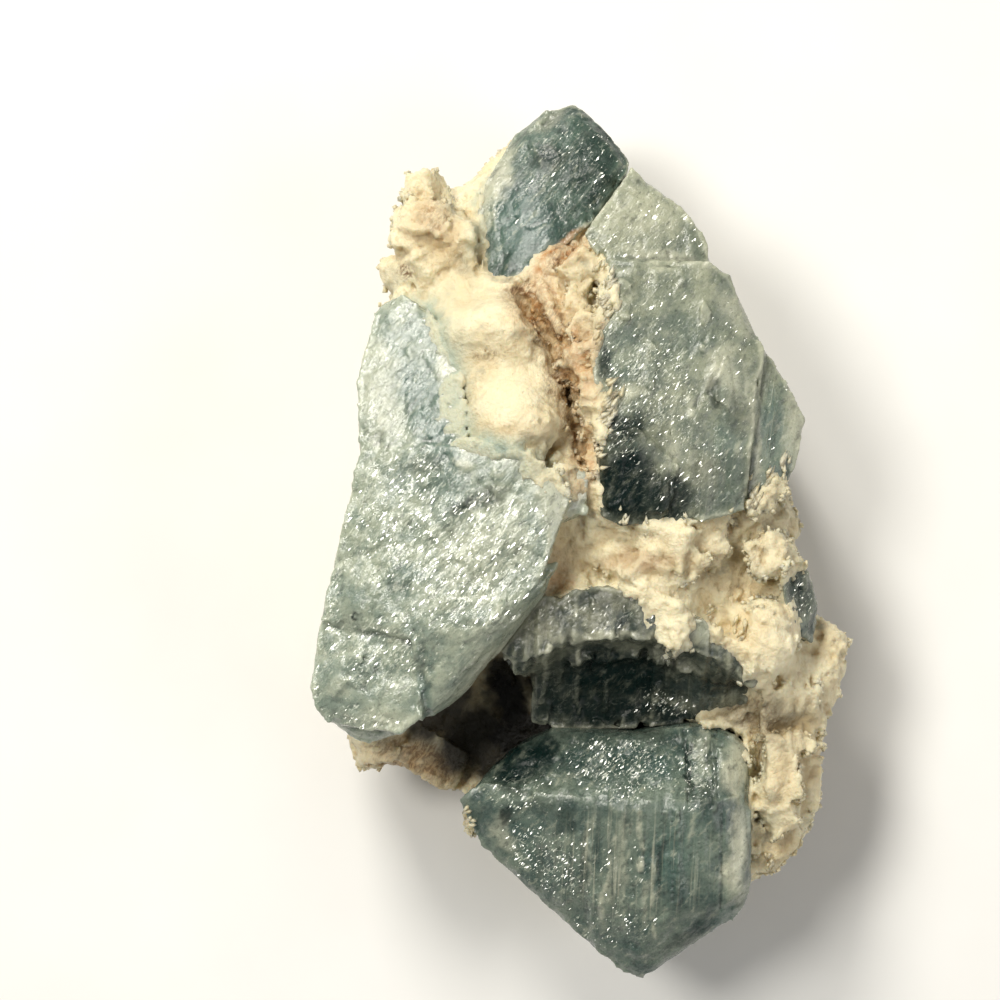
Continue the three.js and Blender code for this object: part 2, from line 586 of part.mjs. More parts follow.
function grainField({ from, to, count, size }, seed) {
  const random = chance(seed);
  const grains = [];
  for (let index = 0; index < count; index += 1) {
    const x = random(from[0], to[0]);
    const y = random(from[1], to[1]);
    const half = random(...size) / 2;
    const corners = GRAIN_CORNERS.map((corner) => corner.map((side) => side * half * random(0.6, 1.2)));
    const geometry = hull(corners);
    geometry.rotateX(random(-0.5, 0.5));
    geometry.rotateY(random(-0.5, 0.5));
    geometry.rotateZ(random(0, Math.PI));
    geometry.translate(x, y, heightFrom(TOP_HEIGHTS, x, y, HEIGHT_REACH) - half * random(0.1, 0.6));
    grains.push(toSolid(geometry));
  }
  return join(grains);
}

function creviceCut() {
  const section = ({ at, wide, floor }) => [
    [at[0], at[1], floor], [at[0] - wide, at[1], LIFT], [at[0] + wide, at[1], LIFT],
    [at[0] - wide / 2, at[1], floor + 2], [at[0] + wide / 2, at[1], floor + 2],
  ];
  const runs = CREVICE.slice(1).map((place, index) => hull([...section(CREVICE[index]), ...section(place)]));
  return join(runs.map(toSolid));
}

function underCut() {
  const geometry = new THREE.BoxGeometry(200, 200, 40);
  geometry.translate(0, 0, -20);
  return toSolid(geometry);
}

function rockSolid(sockets) {
  const ledges = LEDGES.map((ledge) => toSolid(cleavageBlock(ledge)));
  const body = join([rockPillow(), ...ledges, ...LUMPS.map(lump), ...GRAIN_FIELDS.map(grainField)]);
  return [creviceCut(), underCut(), ...sockets].reduce((rock, cut) => rock.subtract(cut), body);
}

// ---------------------------------------------------------------- the cluster

const ROCK_FINISH = new THREE.MeshStandardMaterial({ color: '#e6d8b4', roughness: 0.8, metalness: 0 });

function piece(name, solid, material) {
  const mesh = new THREE.Mesh(toGeometry(mainBody(solid)), material);
  mesh.name = name;
  return mesh;
}

function makeCluster() {
  const cluster = new THREE.Group();
  const sockets = [];
  for (const name of GROWTH_ORDER) {
    const random = chance(name.length * 977);
    const plates = PLATE_SIDES.includes(name) ? sidePlates(CRYSTALS[name].blocks[0], random) : [];
    const parts = crystalParts(name, plates, random);
    const solid = sockets.reduce((rest, cut) => rest.subtract(cut), crystalSolid(parts, name, random));
    const finish = new THREE.MeshStandardMaterial({
      color: CRYSTALS[name].colour, roughness: 0.25, metalness: 0,
    });
    cluster.add(piece(name, solid, finish));
    sockets.push(socket(name, plates));
  }
  cluster.add(piece('matrix', rockSolid(sockets), ROCK_FINISH));
  const middle = new THREE.Box3().setFromObject(cluster).getCenter(new THREE.Vector3());
  cluster.position.set(-middle.x, -middle.y, 0);
  return cluster;
}

export default makeCluster();
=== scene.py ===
"""Celestite cluster: the looks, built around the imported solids.

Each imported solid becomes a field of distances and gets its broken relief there: cleavage plates, grooves,
columns, grains, and rock that creeps over the crystals' edges. It comes back as one closed mesh, whose fine
relief is then pushed in along its normals. Places are in millimetres in the cluster's own plan, and HOME is
where that plan's origin lies in the frame.
"""
from collections import namedtuple
import math

import bpy
import numpy as np
import openvdb as vdb
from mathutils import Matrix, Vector
from mathutils.bvhtree import BVHTree


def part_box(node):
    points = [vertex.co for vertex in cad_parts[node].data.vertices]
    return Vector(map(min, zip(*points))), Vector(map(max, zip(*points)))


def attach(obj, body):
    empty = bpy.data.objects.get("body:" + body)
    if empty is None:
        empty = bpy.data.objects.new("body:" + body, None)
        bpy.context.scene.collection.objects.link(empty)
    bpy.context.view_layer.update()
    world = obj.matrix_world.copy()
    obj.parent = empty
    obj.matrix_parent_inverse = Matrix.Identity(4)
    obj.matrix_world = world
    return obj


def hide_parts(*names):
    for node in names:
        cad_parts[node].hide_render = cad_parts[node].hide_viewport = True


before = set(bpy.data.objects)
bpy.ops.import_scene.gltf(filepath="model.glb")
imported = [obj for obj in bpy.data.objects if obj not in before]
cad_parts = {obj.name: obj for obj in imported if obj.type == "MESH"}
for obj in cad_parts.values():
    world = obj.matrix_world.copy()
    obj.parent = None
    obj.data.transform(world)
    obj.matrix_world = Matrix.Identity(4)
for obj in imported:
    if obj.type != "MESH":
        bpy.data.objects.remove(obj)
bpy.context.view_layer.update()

MM = 0.001
# crystal_bottom's lowest corner in the plan, which places the plan in the frame
PLAN_LOW = (-13.9, -52.4)
bottom_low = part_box("crystal_bottom")[0]
HOME = np.array([bottom_low[0] / MM - PLAN_LOW[0], bottom_low[1] / MM - PLAN_LOW[1], 0.0])

VOXEL = {"matrix": 0.36, "crystal_left": 0.28, "crystal_right": 0.28, "crystal_top": 0.26,
         "crystal_middle": 0.26, "crystal_bottom": 0.27, "crystal_edge": 0.28}
REACH = {"matrix": 8}  # half width of the distance band, in voxels
REACH_ELSE = 5
FLAKE_MOST = 500       # corners of the largest loose body that is left out
TRIANGLES_MOST = {"matrix": 196000, "crystal_left": 150000, "crystal_right": 140000, "crystal_top": 80000,
                  "crystal_middle": 100000, "crystal_bottom": 140000, "crystal_edge": 20000}


# ---------------------------------------------------------------- seeded noise on points

def corner_chance(i, j, k, seed):
    """A number from 0 to 1 for each lattice corner."""
    with np.errstate(over="ignore"):
        mixed = (i.astype(np.uint32) * np.uint32(374761393) + j.astype(np.uint32) * np.uint32(668265263)
                 + k.astype(np.uint32) * np.uint32(2246822519) + np.uint32(seed * 3266489917 % 2 ** 32))
        mixed = (mixed ^ (mixed >> np.uint32(15))) * np.uint32(2246822519)
        mixed = (mixed ^ (mixed >> np.uint32(13))) * np.uint32(3266489917)
        mixed = mixed ^ (mixed >> np.uint32(16))
    return mixed.astype(np.float32) / np.float32(2 ** 32)


def soft_noise(points, size, seed):
    """Smooth noise from -1 to 1, with features about size across; size may differ by axis."""
    place = points / np.asarray(size, dtype=np.float32)
    cell = np.floor(place).astype(np.int32)
    part = (place - cell).astype(np.float32)
    part = part * part * (3 - 2 * part)
    total = np.zeros(len(points), dtype=np.float32)
    for corner in range(8):
        step = [(corner >> axis) & 1 for axis in range(3)]
        weight = np.ones(len(points), dtype=np.float32)
        for axis in range(3):
            weight *= part[:, axis] if step[axis] else 1 - part[:, axis]
        total += weight * corner_chance(*(cell[:, axis] + step[axis] for axis in range(3)), seed)
    return total * 2 - 1


def layered_noise(points, size, seed, layers=3, gain=0.5):
    total = np.zeros(len(points), dtype=np.float32)
    share = 1.0
    whole = 0.0
    for layer in range(layers):
        scale = np.asarray(size, dtype=np.float32) / 2 ** layer
        total += share * soft_noise(points, scale, seed + 17 * layer)
        whole += share
        share *= gain
    return total / whole


def seats(cell, seed):
    """The scattered seed of each lattice cell."""
    return cell + np.stack([corner_chance(*cell.T, seed + 101 * axis) for axis in range(3)], axis=1)


def cells(points, size, seed):
    """The offset from the nearest scattered seed, and that seed's chance."""
    place = points / np.asarray(size, dtype=np.float32)
    base = np.floor(place).astype(np.int32)
    home = base.copy()
    least = np.full(len(points), 9.0, dtype=np.float32)
    for step in np.ndindex(3, 3, 3):
        near = base + (np.array(step, dtype=np.int32) - 1)
        gap = np.linalg.norm(place - seats(near, seed), axis=1)
        closer = gap < least
        least = np.where(closer, gap, least)
        home[closer] = near[closer]
    return place - seats(home, seed), corner_chance(*home.T, seed + 977)


def facets(points, size, seed, step, lean):
    """Relief of broken plates: each stands at its own height and leans its own way."""
    size = np.broadcast_to(np.asarray(size, dtype=np.float32), 3)
    offset, value = cells(points, size, seed)
    turn = value * 41
    slope = offset[:, 0] * size[0] * np.cos(turn) + offset[:, 1] * size[1] * np.sin(turn)
    return step * (value * 2 - 1) + lean * slope


def ease(low, high, value):
    part = np.clip((value - low) / (high - low), 0, 1)
    return part * part * (3 - 2 * part)


def turned(points, degrees):
    """Points in axes turned about Z, so that the first axis runs at that angle from +X."""
    angle = math.radians(degrees)
    along = points[:, 0] * math.cos(angle) + points[:, 1] * math.sin(angle)
    across = -points[:, 0] * math.sin(angle) + points[:, 1] * math.cos(angle)
    return np.stack([along, across, points[:, 2]], axis=1).astype(np.float32)


def drifted(points, amount, seed):
    """Points shifted in the plan by ragged noise, so that outlines drawn with them are ragged too."""
    near = points.copy()
    for axis in range(2):
        near[:, axis] += amount * soft_noise(points, 3.0, seed + axis)
        near[:, axis] += 0.6 * amount * soft_noise(points, 1.1, seed + 2 + axis)
        near[:, axis] += 0.35 * amount * soft_noise(points, 0.5, seed + 4 + axis)
    return near


def blots(points, spots, ragged=1.0, seed=5, soft=(0.55, 1.25)):
    """The strength at each point of the ellipses (x, y, half width, half height, degrees, strength)."""
    near = drifted(points, ragged, seed)
    total = np.zeros(len(points), dtype=np.float32)
    for x, y, wide, tall, degrees, strength in spots:
        local = turned(near - np.array([x, y, 0], dtype=np.float32), degrees)
        far = np.hypot(local[:, 0] / wide, local[:, 1] / tall)
        total = np.maximum(total, strength * (1 - ease(*soft, far)))
    return total


def grooves(points, lines, ragged=0.25, seed=31):
    """Depth at each point of the lines (x, y, x, y, width, depth)."""
    near = drifted(points, ragged, seed)
    total = np.zeros(len(points), dtype=np.float32)
    for x0, y0, x1, y1, wide, deep in lines:
        run = np.array([x1 - x0, y1 - y0], dtype=np.float32)
        length = float(np.linalg.norm(run))
        rest = near[:, :2] - np.array([x0, y0], dtype=np.float32)
        share = np.clip(rest @ run / length ** 2, 0, 1)
        far = np.linalg.norm(rest - share[:, None] * run, axis=1)
        total = np.maximum(total, deep * (1 - ease(0.2 * wide, wide, far)))
    return total


# ---------------------------------------------------------------- distance fields

def solid_mesh(name):
    """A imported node's corners in the plan's millimetres, and its triangles."""
    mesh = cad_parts[name].data
    corners = np.empty(len(mesh.vertices) * 3, dtype=np.float32)
    mesh.vertices.foreach_get("co", corners)
    mesh.calc_loop_triangles()
    triangles = np.empty(len(mesh.loop_triangles) * 3, dtype=np.int32)
    mesh.loop_triangles.foreach_get("vertices", triangles)
    corners = (corners.reshape(-1, 3) / MM - HOME).astype(np.float32)
    return corners, triangles.reshape(-1, 3).astype(np.uint32)


class Window:
    """A block of voxels around one solid, with the distance fields of this solid and of all the others."""

    def __init__(self, name):
        self.voxel = VOXEL[name]
        self.reach = REACH.get(name, REACH_ELSE)
        self.band = self.voxel * self.reach
        corners, _ = SOLIDS[name]
        room = self.reach + 3
        self.low = np.floor(corners.min(axis=0) / self.voxel).astype(int) - room
        high = np.ceil(corners.max(axis=0) / self.voxel).astype(int) + room
        self.shape = tuple(high - self.low + 1)
        self.own = self.field(name)
        self.rest = np.minimum.reduce([self.field(other) for other in SOLIDS if other != name])

    def field(self, name):
        corners, triangles = SOLIDS[name]
        grid = vdb.FloatGrid.createLevelSetFromPolygons(
            corners, triangles=triangles, transform=vdb.createLinearTransform(self.voxel),
            halfWidth=float(self.reach))
        values = np.zeros(self.shape, dtype=np.float32)
        grid.copyToArray(values, ijk=tuple(int(step) for step in self.low))
        return values

    def points(self, index):
        return ((np.stack(index, axis=1) + self.low) * self.voxel).astype(np.float32)

    def upward(self, values, index):
        """How far the field's outward direction points up at each voxel."""
        parts = []
        for axis in range(3):
            ahead = [np.minimum(at + (axis == n), self.shape[n] - 1) for n, at in enumerate(index)]
            behind = [np.maximum(at - (axis == n), 0) for n, at in enumerate(index)]
            parts.append(values[tuple(ahead)] - values[tuple(behind)])
        return parts[2] / np.maximum(np.sqrt(parts[0] ** 2 + parts[1] ** 2 + parts[2] ** 2), 1e-6)

    def sample(self, values, points):
        """The field at any points, blended from the voxels around them."""
        place = points / self.voxel - self.low
        cell = np.clip(np.floor(place).astype(int), 0, np.array(self.shape) - 2)
        part = (place - cell).astype(np.float32)
        total = np.zeros(len(points), dtype=np.float32)
        for step in np.ndindex(2, 2, 2):
            weight = np.prod(np.where(step, part, 1 - part), axis=1)
            total += weight * values[tuple((cell + step).T)]
        return total

    def surface(self, values):
        """The closed skin of a field, as points in the plan's millimetres and quads."""
        grid = vdb.FloatGrid(self.band)
        low = tuple(int(step) for step in self.low)
        grid.copyFromArray(np.clip(values, -self.band, self.band), ijk=low)
        grid.transform = vdb.createLinearTransform(self.voxel)
        points, quads = grid.convertToQuads(0.0)
        return without_flakes(points, quads[:, ::-1])


def without_flakes(points, quads):
    """The skin without the small bodies that hang loose beside the main one."""
    root = np.arange(len(points))
    first = quads.ravel()
    second = np.roll(quads, 1, axis=1).ravel()
    settled = False
    while not settled:
        low = np.minimum(root[first], root[second])
        joined = root.copy()
        np.minimum.at(joined, root[first], low)
        np.minimum.at(joined, root[second], low)
        joined = joined[joined]
        settled = np.array_equal(joined, root)
        root = joined
    kept = np.bincount(root, minlength=len(root))[root] > FLAKE_MOST
    renumbered = np.cumsum(kept) - 1
    return points[kept], renumbered[quads[kept[quads[:, 0]]]]


def blurred(values, steps):
    """The field averaged over a cube of 2 * steps + 1 voxels."""
    for axis in range(3):
        total = values.copy()
        for step in range(1, steps + 1):
            total += np.roll(values, step, axis) + np.roll(values, -step, axis)
        values = total / (2 * steps + 1)
    return values


SOLIDS = {name: solid_mesh(name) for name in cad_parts}
FLECK_TURN = 48        # heading of the flecks and crumples, which all lean one way
CRYSTAL_NAMES = [name for name in SOLIDS if name.startswith("crystal")]
TREES = [BVHTree.FromPolygons([Vector(corner) for corner in corners.tolist()], triangles.tolist())
         for corners, triangles in SOLIDS.values()]
SKY = 90.0             # height from which the cluster's top is felt for


def top_height(x, y):
    """Height of the cluster at a place of the plan."""
    hits = [tree.ray_cast(Vector((x, y, SKY)), Vector((0, 0, -1)))[0] for tree in TREES]
    return max([hit.z for hit in hits if hit] or [0.0])


# ---------------------------------------------------------------- relief of the crystals

# The direction of a crystal's cleavage, the size of its plates, their steps and leans, its foil-like
# crumple and its ribs.
Relief = namedtuple("Relief", "turn plate step lean foil rib")
CRYSTAL_RELIEF = {
    "crystal_left": Relief(50, (5.0, 2.2, 3.0), 0.05, 0.05, 0.06, 0.0),
    "crystal_right": Relief(82, (4.6, 1.8, 3.0), 0.06, 0.04, 0.035, 0.03),
    "crystal_top": Relief(52, (3.6, 1.8, 2.6), 0.05, 0.04, 0.04, 0.0),
    "crystal_middle": Relief(88, (3.6, 1.3, 6.0), 0.16, 0.07, 0.03, 0.2),
    "crystal_bottom": Relief(88, (7.0, 1.5, 3.0), 0.05, 0.03, 0.03, 0.08),
    "crystal_edge": Relief(80, (3.0, 1.2, 3.0), 0.26, 0.09, 0.07, 0.14),
}
BARE = (0.15, 0.9)     # distances from its neighbours over which a crystal's relief comes in
SEAM_IN = 0.22         # how far a crystal draws back where it meets its neighbours
CHIP_DEEP = 0.5
EDGE_SOFT = 0.9        # share by which the crystals' blunt edges are evened out
EDGE_STEPS = 4         # voxels over which that is done
BEND_STEPS = 3         # voxels over which the painted bend of a surface is measured

# Grooves and cracks of the crystals: from x, y to x, y, half width, depth.
CRYSTAL_GROOVES = {
    "crystal_left": [
        (-19.8, 23.6, -16.4, 18.8, 0.5, 0.15), (-26.6, -8.2, -19.6, -8.8, 0.4, 0.12),
        (-18.1, -11.6, -17.6, -20.8, 0.7, 0.3), (-28.6, -18.6, -22.4, -20.4, 0.3, 0.12),
        (-12.0, 7.4, -8.6, 4.4, 0.4, 0.15), (-20.8, 11.4, -14.6, 11.8, 0.4, 0.15),
    ],
    "crystal_right": [
        (22.3, 22.6, 19.4, 4.4, 0.25, 0.1), (16.6, 21.6, 15.2, 17.4, 0.4, 0.25),
        (17.6, 20.4, 18.6, 15.2, 0.3, 0.2), (5.2, 13.4, 5.4, 4.2, 0.2, 0.15),
        (10.6, 14.6, 10.8, 3.6, 0.25, 0.15), (15.6, 14, 15.6, 4, 0.2, 0.15),
    ],
    "crystal_top": [(-9.6, 41.4, -8.6, 33.4, 0.25, 0.1)],
    "crystal_middle": [(13.4, -21.4, 17.6, -22.6, 0.5, 0.8), (10.4, -11.2, 10.2, -21, 0.3, 0.3)],
    "crystal_bottom": [
        (12.9, -22.4, 12.9, -30.4, 0.3, 0.4), (16.3, -22.8, 16.3, -30.6, 0.22, 0.3),
        (17.0, -31.2, 17.1, -43.4, 0.25, 0.25), (7.2, -31.6, 8.2, -46, 0.2, 0.15),
        (1.6, -31.4, 2.2, -42, 0.2, 0.12),
    ],
    "crystal_edge": [(26.8, -1.6, 26.2, -11, 0.3, 0.3)],
}
# Thin pale crests of the crystals: from x, y to x, y, half width, height.
CRYSTAL_CRESTS = {
    "crystal_right": [
        (16.8, 21.5, 15.4, 18.0, 0.8, 0.22), (19.0, 21.5, 16.8, 17.6, 0.6, 0.2),
        (16.8, 17.6, 15.0, 16.3, 0.7, 0.2), (13.0, 16.3, 13.4, 12.7, 0.8, 0.2),
        (13.4, 12.7, 12.8, 9.2, 0.6, 0.15), (18.5, 11.9, 18.1, 8.3, 0.6, 0.16),
        (21.4, 22.6, 19.3, 6.0, 0.4, 0.15), (8.1, 40.2, 7.4, 35.4, 0.5, 0.12),
    ],
    "crystal_left": [
        (-14.0, 9.7, -9.3, 8.2, 0.9, 0.16), (-4.6, 5.5, -2.9, 0.5, 0.8, 0.16),
        (-2.9, 0.5, -4.2, -3.0, 0.8, 0.16),
    ],
    "crystal_bottom": [
        (7.2, -31.6, 7.5, -38.6, 0.6, 0.2), (4.5, -31.4, 2.9, -44.7, 0.45, 0.16),
        (9.0, -37.6, 9.3, -47, 0.45, 0.16), (13.4, -31.6, 13.2, -37, 0.35, 0.14),
        (17.1, -30.8, 17.5, -39, 0.5, 0.22), (5.8, -36, 5.2, -46, 0.3, 0.12),
    ],
    "crystal_middle": [
        (-3.6, -12.4, -4.4, -19, 0.5, 0.3), (0.4, -12, 0.2, -20, 0.45, 0.3),
        (3.4, -12, 3.4, -20.4, 0.5, 0.3), (6.4, -12, 6.6, -20.6, 0.4, 0.3),
        (9.0, -12, 9.3, -20.6, 0.5, 0.3),
    ],
    "crystal_top": [(-9.8, 44.6, -9.4, 37, 0.4, 0.12)],
}

# Steps of the crystals that are worn soft: x, y, half sizes, degrees, share.
WORN = {
    "crystal_left": [
        (-23.4, -8.8, 6.4, 2.0, -4, 1.0), (-12, 9.4, 8, 2.6, -15, 0.8), (-18, 12, 5, 3, 0, 0.6),
    ],
    "crystal_bottom": [(0, -30.6, 9, 1.6, -2, 0.6)],
    "crystal_top": [(0, 43, 6, 6, 0, 0.8)],
    "crystal_right": [(8, 32.6, 8, 1.6, -6, 0.5), (20.8, 13.6, 1.6, 10, 9, 0.8)],
}


def crests(points, name):
    """Height of the crests, which break off here and there."""
    broken = ease(-0.35, 0.25, layered_noise(points, 2.2, 45, 3))
    return broken * grooves(points, CRYSTAL_CRESTS.get(name, []), 0.4)


def coarse_relief(points, name, seed):
    """How far a crystal's plates, ribs and grooves stand out, in millimetres."""
    relief = CRYSTAL_RELIEF[name]
    local = turned(drifted(points, 0.35, seed), relief.turn)
    out = facets(local, np.array(relief.plate) * 1.8, seed + 7, relief.step, relief.lean * 0.6)
    out += facets(local, relief.plate, seed + 8, relief.step * 0.6, relief.lean)
    if relief.rib:
        straight = turned(points, relief.turn)
        out += relief.rib * soft_noise(straight, (16.0, 0.7, 30.0), seed + 11)
        out += relief.rib * soft_noise(straight, (9.0, 1.5, 30.0), seed + 12)
    return out - grooves(points, CRYSTAL_GROOVES[name]) + crests(points, name)


def fine_relief(points, name, seed):
    """The foil-like crumple of the cleavage faces, in millimetres."""
    local = turned(drifted(points, 0.2, seed + 20), FLECK_TURN)
    crumple = soft_noise(local, (1.3, 0.6, 0.9), seed + 21)
    crumple = crumple + 0.6 * soft_noise(local, (0.8, 0.45, 0.6), seed + 22)
    return CRYSTAL_RELIEF[name].foil * crumple


def chips(points, bend, seed):
    """How deep the crystals' sharp edges are chipped, in millimetres."""
    bites = ease(-0.05, 0.45, layered_noise(points, 1.9, seed + 30, 3))
    return CHIP_DEEP * bites * ease(0.1, 0.35, bend)


def dressed_crystal(name, seed):
    window = Window(name)
    index = np.nonzero(np.abs(window.own) < window.band * 0.95)
    points = window.points(index)
    bare = ease(*BARE, window.rest[index])
    bend = blurred(window.own, EDGE_STEPS) - window.own
    softness = EDGE_SOFT * ease(0.3, 0.14, np.abs(bend))
    softness[index] = np.maximum(softness[index], blots(points, WORN.get(name, []), 0.6, 140))
    values = window.own + softness * bend * (window.rest > BARE[0])
    carved = coarse_relief(points, name, seed) - chips(points, bend[index], seed)
    values[index] -= carved * bare + SEAM_IN * (1 - bare)
    points, quads = window.surface(values)
    piece = make_mesh(name + ".cut", points, quads)
    push(piece, fine_relief(points, name, seed) * ease(*BARE, window.sample(window.rest, points)))
    return piece, thinned_and_bent(piece, window, values, TRIANGLES_MOST[name])


def thinned_and_bent(piece, window, values, most):
    """Thins the mesh and paints on it how its field bends; gives the places of its corners."""
    bend = blurred(values, BEND_STEPS)
    thin_out(piece, most)
    place = plan_points(piece)
    paint(piece, "bend", window.sample(bend, place) - window.sample(values, place))
    return place


# ---------------------------------------------------------------- relief of the rock

# Rock that lies on the crystals: x, y, half sizes, degrees, thickness.
CREEPS = [
    (-0.8, 7.4, 2.0, 2.2, 0, 1.0), (10.8, -8.4, 2.6, 4.6, 10, 1.9), (9.8, -5.6, 3.4, 1.2, 0, 1.1),
    (18.0, -8.2, 3.2, 3.0, 20, 1.7), (14.4, -6.4, 1.6, 1.6, 0, 1.0), (21, -13.4, 2.0, 3.2, 0, 1.6),
    (19.4, 3.4, 2.6, 1.2, 15, 1.0), (23.2, 5.8, 1.4, 2.8, -25, 1.0), (25, -9.4, 0.8, 2.6, 0, 0.9),
    (28.8, -6.4, 0.8, 3.8, 12, 0.9), (26.4, -1.8, 1.0, 1.0, 0, 0.8), (2.6, 29.2, 1.9, 2.4, 20, 1.1),
    (1.8, 26.0, 1.4, 1.8, 0, 1.0), (1.4, 22.4, 0.9, 2.6, 0, 0.8), (2.7, 16.6, 1.7, 1.7, 0, 1.1),
    (2.5, 13.6, 1.4, 1.5, 0, 1.0), (1.6, 10, 0.9, 3, 0, 0.8), (20.6, -29, 0.7, 6.4, 0, 0.8),
    (-12.6, -33.4, 1.3, 2.0, 20, 0.7), (-20, 28.6, 3.4, 1.1, -10, 0.6), (-15.6, 23.6, 1.9, 4.0, 20, 0.65),
    (-13.8, 16.6, 2.1, 5.4, 5, 0.7), (-10.6, 11.2, 3.8, 2.0, -22, 0.7), (-5.0, 8.6, 3.6, 1.8, -28, 0.7),
]
# Where the rock banks up on its neighbours: x, y, half sizes, degrees, extra thickness.
BANKS = [
    (-13.6, 16, 2.6, 12, 6, 0.9), (-17, 26.4, 6, 2.4, -20, 0.7), (-6, 10, 6, 2.4, -20, 0.7),
    (-10.4, 40, 2, 9, -10, 0.3), (-4, 32.4, 5, 2.6, 30, 0.15), (20, -30, 2, 9, 0, 0.3),
    (9, -4, 10, 2.4, 0, 0.35),
]
BANK_WIDE = 2.8        # reach of the bank in the corner between rock and crystal
BANK_THICK = 1.5       # most that a bank adds to the rock
# Cracks and pits of the rock: from x, y to x, y, half width, depth.
ROCK_GROOVES = [
    (-6.8, 30.8, -4.4, 26, 2.2, 0.4), (-4.4, 26, -2.4, 21.6, 1.9, 0.4),
    (-2.4, 21.6, -0.8, 15.4, 1.5, 0.4), (-0.8, 15.4, 0.4, 7.4, 0.9, 0.4), (0.4, 7.4, 0.4, 1, 0.5, 0.4),
    (13.2, -21.6, 20.2, -23.9, 0.6, 2.0), (24.8, -24, 24.6, -31.4, 0.3, 0.3), (21, 2, 21.4, -3, 0.4, 0.6),
    (20.2, -1.6, 18.4, -6, 0.4, 0.5), (-11.6, 22.8, -9.8, 21.4, 0.4, 0.3),
]
# Where the rock has upright ribs: x, y, half sizes, degrees, share.
RIBBED = [(25, -24, 6, 12, 0, 1.0), (28, -14, 4, 5, 0, 0.6), (24.6, 4, 3, 6, -20, 0.7)]
RIB_TURN = 84
# Where the rock is milky and smooth rather than crumbling: x, y, half sizes, degrees, share.
SMOOTH = [
    (-9.8, 17.4, 5.6, 7.4, 0, 0.95), (-12.6, 27, 6.4, 5, 10, 0.85), (-14, 16, 3, 10, 0, 0.9),
    (23.6, -13, 3.4, 4.4, 0, 0.5), (-2.4, -2.6, 2.6, 5.4, -30, 0.5), (24.6, -20.6, 5, 2.4, 0, 0.3),
    (-12, -24, 8, 5, 20, 0.6), (25, -28, 4, 8, 0, 0.15),
]
# Where the rock is one rounded mass, its hollows filled: x, y, half sizes, degrees, share.
MELTED = [
    (-10.6, 17.4, 6.4, 8, 0, 1.0), (-12.6, 27, 7.4, 5.4, 10, 0.9), (-4, 23, 3.4, 9, 18, 0.8),
    (-1, 11, 2, 8, 6, 0.7), (-16.6, 37, 5, 7, 20, 0.4), (24, -13, 4, 4.4, 0, 0.6),
    (25.8, -18.5, 5.0, 3.4, 0, 0.85),
]
MELT_STEPS = 6         # voxels over which those hollows are evened out
MELT_GROWTH = 0.45
ROOTED = 0.9           # how deep the rock that lies on a crystal reaches into it
CREEP_IN = 1.2         # how far inside the crystals creeping rock is worked out, and banks
BANK_IN = 1.4
SURE = 0.98            # share of a distance band within which its distances hold
MELT_BAND = 7          # voxels beside the rock's skin that are evened out, and those that get relief
RELIEF_BAND = 5


def add_creeps(window, values):
    """Rock lying over the crystals, broken up at its rims."""
    index = np.nonzero((window.rest > -CREEP_IN) & (window.rest < window.band * SURE))
    index = tuple(axis[window.upward(window.rest, index) > 0.2] for axis in index)
    points = window.points(index)
    cover = blots(points, CREEPS, 1.1, 70, (0.4, 1.25))
    lobes = soft_noise(turned(points, 40), (2.6, 0.8, 2.0), 74)
    crumbs = 0.75 + 0.5 * layered_noise(points, 1.9, 73, 3) + 0.4 * lobes
    crumbs = crumbs + facets(points, 1.2, 75, 0.14, 0.15)
    outside = window.rest[index]
    layer = np.maximum(outside - cover * crumbs + 0.25, -outside - ROOTED)
    values[index] = np.where(cover > 0.05, np.minimum(values[index], layer), values[index])


def add_banks(window, values):
    """Fills the corners between the rock and the crystals, up to a ragged rim."""
    within = (values < window.band * SURE) & (window.rest < window.band * SURE)
    index = np.nonzero(within & (window.rest > -BANK_IN))
    points = window.points(index)
    rock = values[index]
    outside = window.rest[index]
    rim = 0.45 - blots(points, BANKS, 1.0, 78) + 0.45 * layered_noise(points, 1.8, 79, 3)
    crystal = outside + rim
    share = np.clip(1 - np.abs(rock - crystal) / BANK_WIDE, 0, 1)
    bank = np.minimum(rock, crystal) - share * share * BANK_WIDE / 4
    bank = np.maximum(np.maximum(bank, rock - BANK_THICK), -outside - ROOTED)
    values[index] = np.minimum(rock, bank)


def rock_relief(points, upward):
    """How far the crumbling surface of the rock stands out, in millimetres."""
    smooth = blots(points, SMOOTH, 1.2, 80)
    coarse = layered_noise(points, 4.2, 300, 4, 0.6)
    broken = facets(points + 0.5 * coarse[:, None], 1.9, 310, 0.18, 0.22)
    pits = ease(0.35, 0.7, layered_noise(points, 1.7, 330, 2))
    out = 0.5 * coarse + (1 - 0.9 * smooth) * (broken - 0.45 * pits)
    upright = soft_noise(turned(points, RIB_TURN), (9.0, 0.9, 9.0), 360)
    out += 0.35 * blots(points, RIBBED, 1.2, 86) * upright
    out -= grooves(points, ROCK_GROOVES, 0.7)
    resting = ease(0.3, 2.5, points[:, 2] + 3 * (1 + upward))
    return out * (0.12 + 0.88 * resting)


def fine_rock_relief(points):
    smooth = blots(points, SMOOTH, 1.2, 80)
    grain = facets(points, 0.9, 340, 0.1, 0.2) + 0.08 * layered_noise(points, 0.8, 350, 2)
    return grain * (1 - 0.8 * smooth) * ease(0.2, 1.5, points[:, 2])


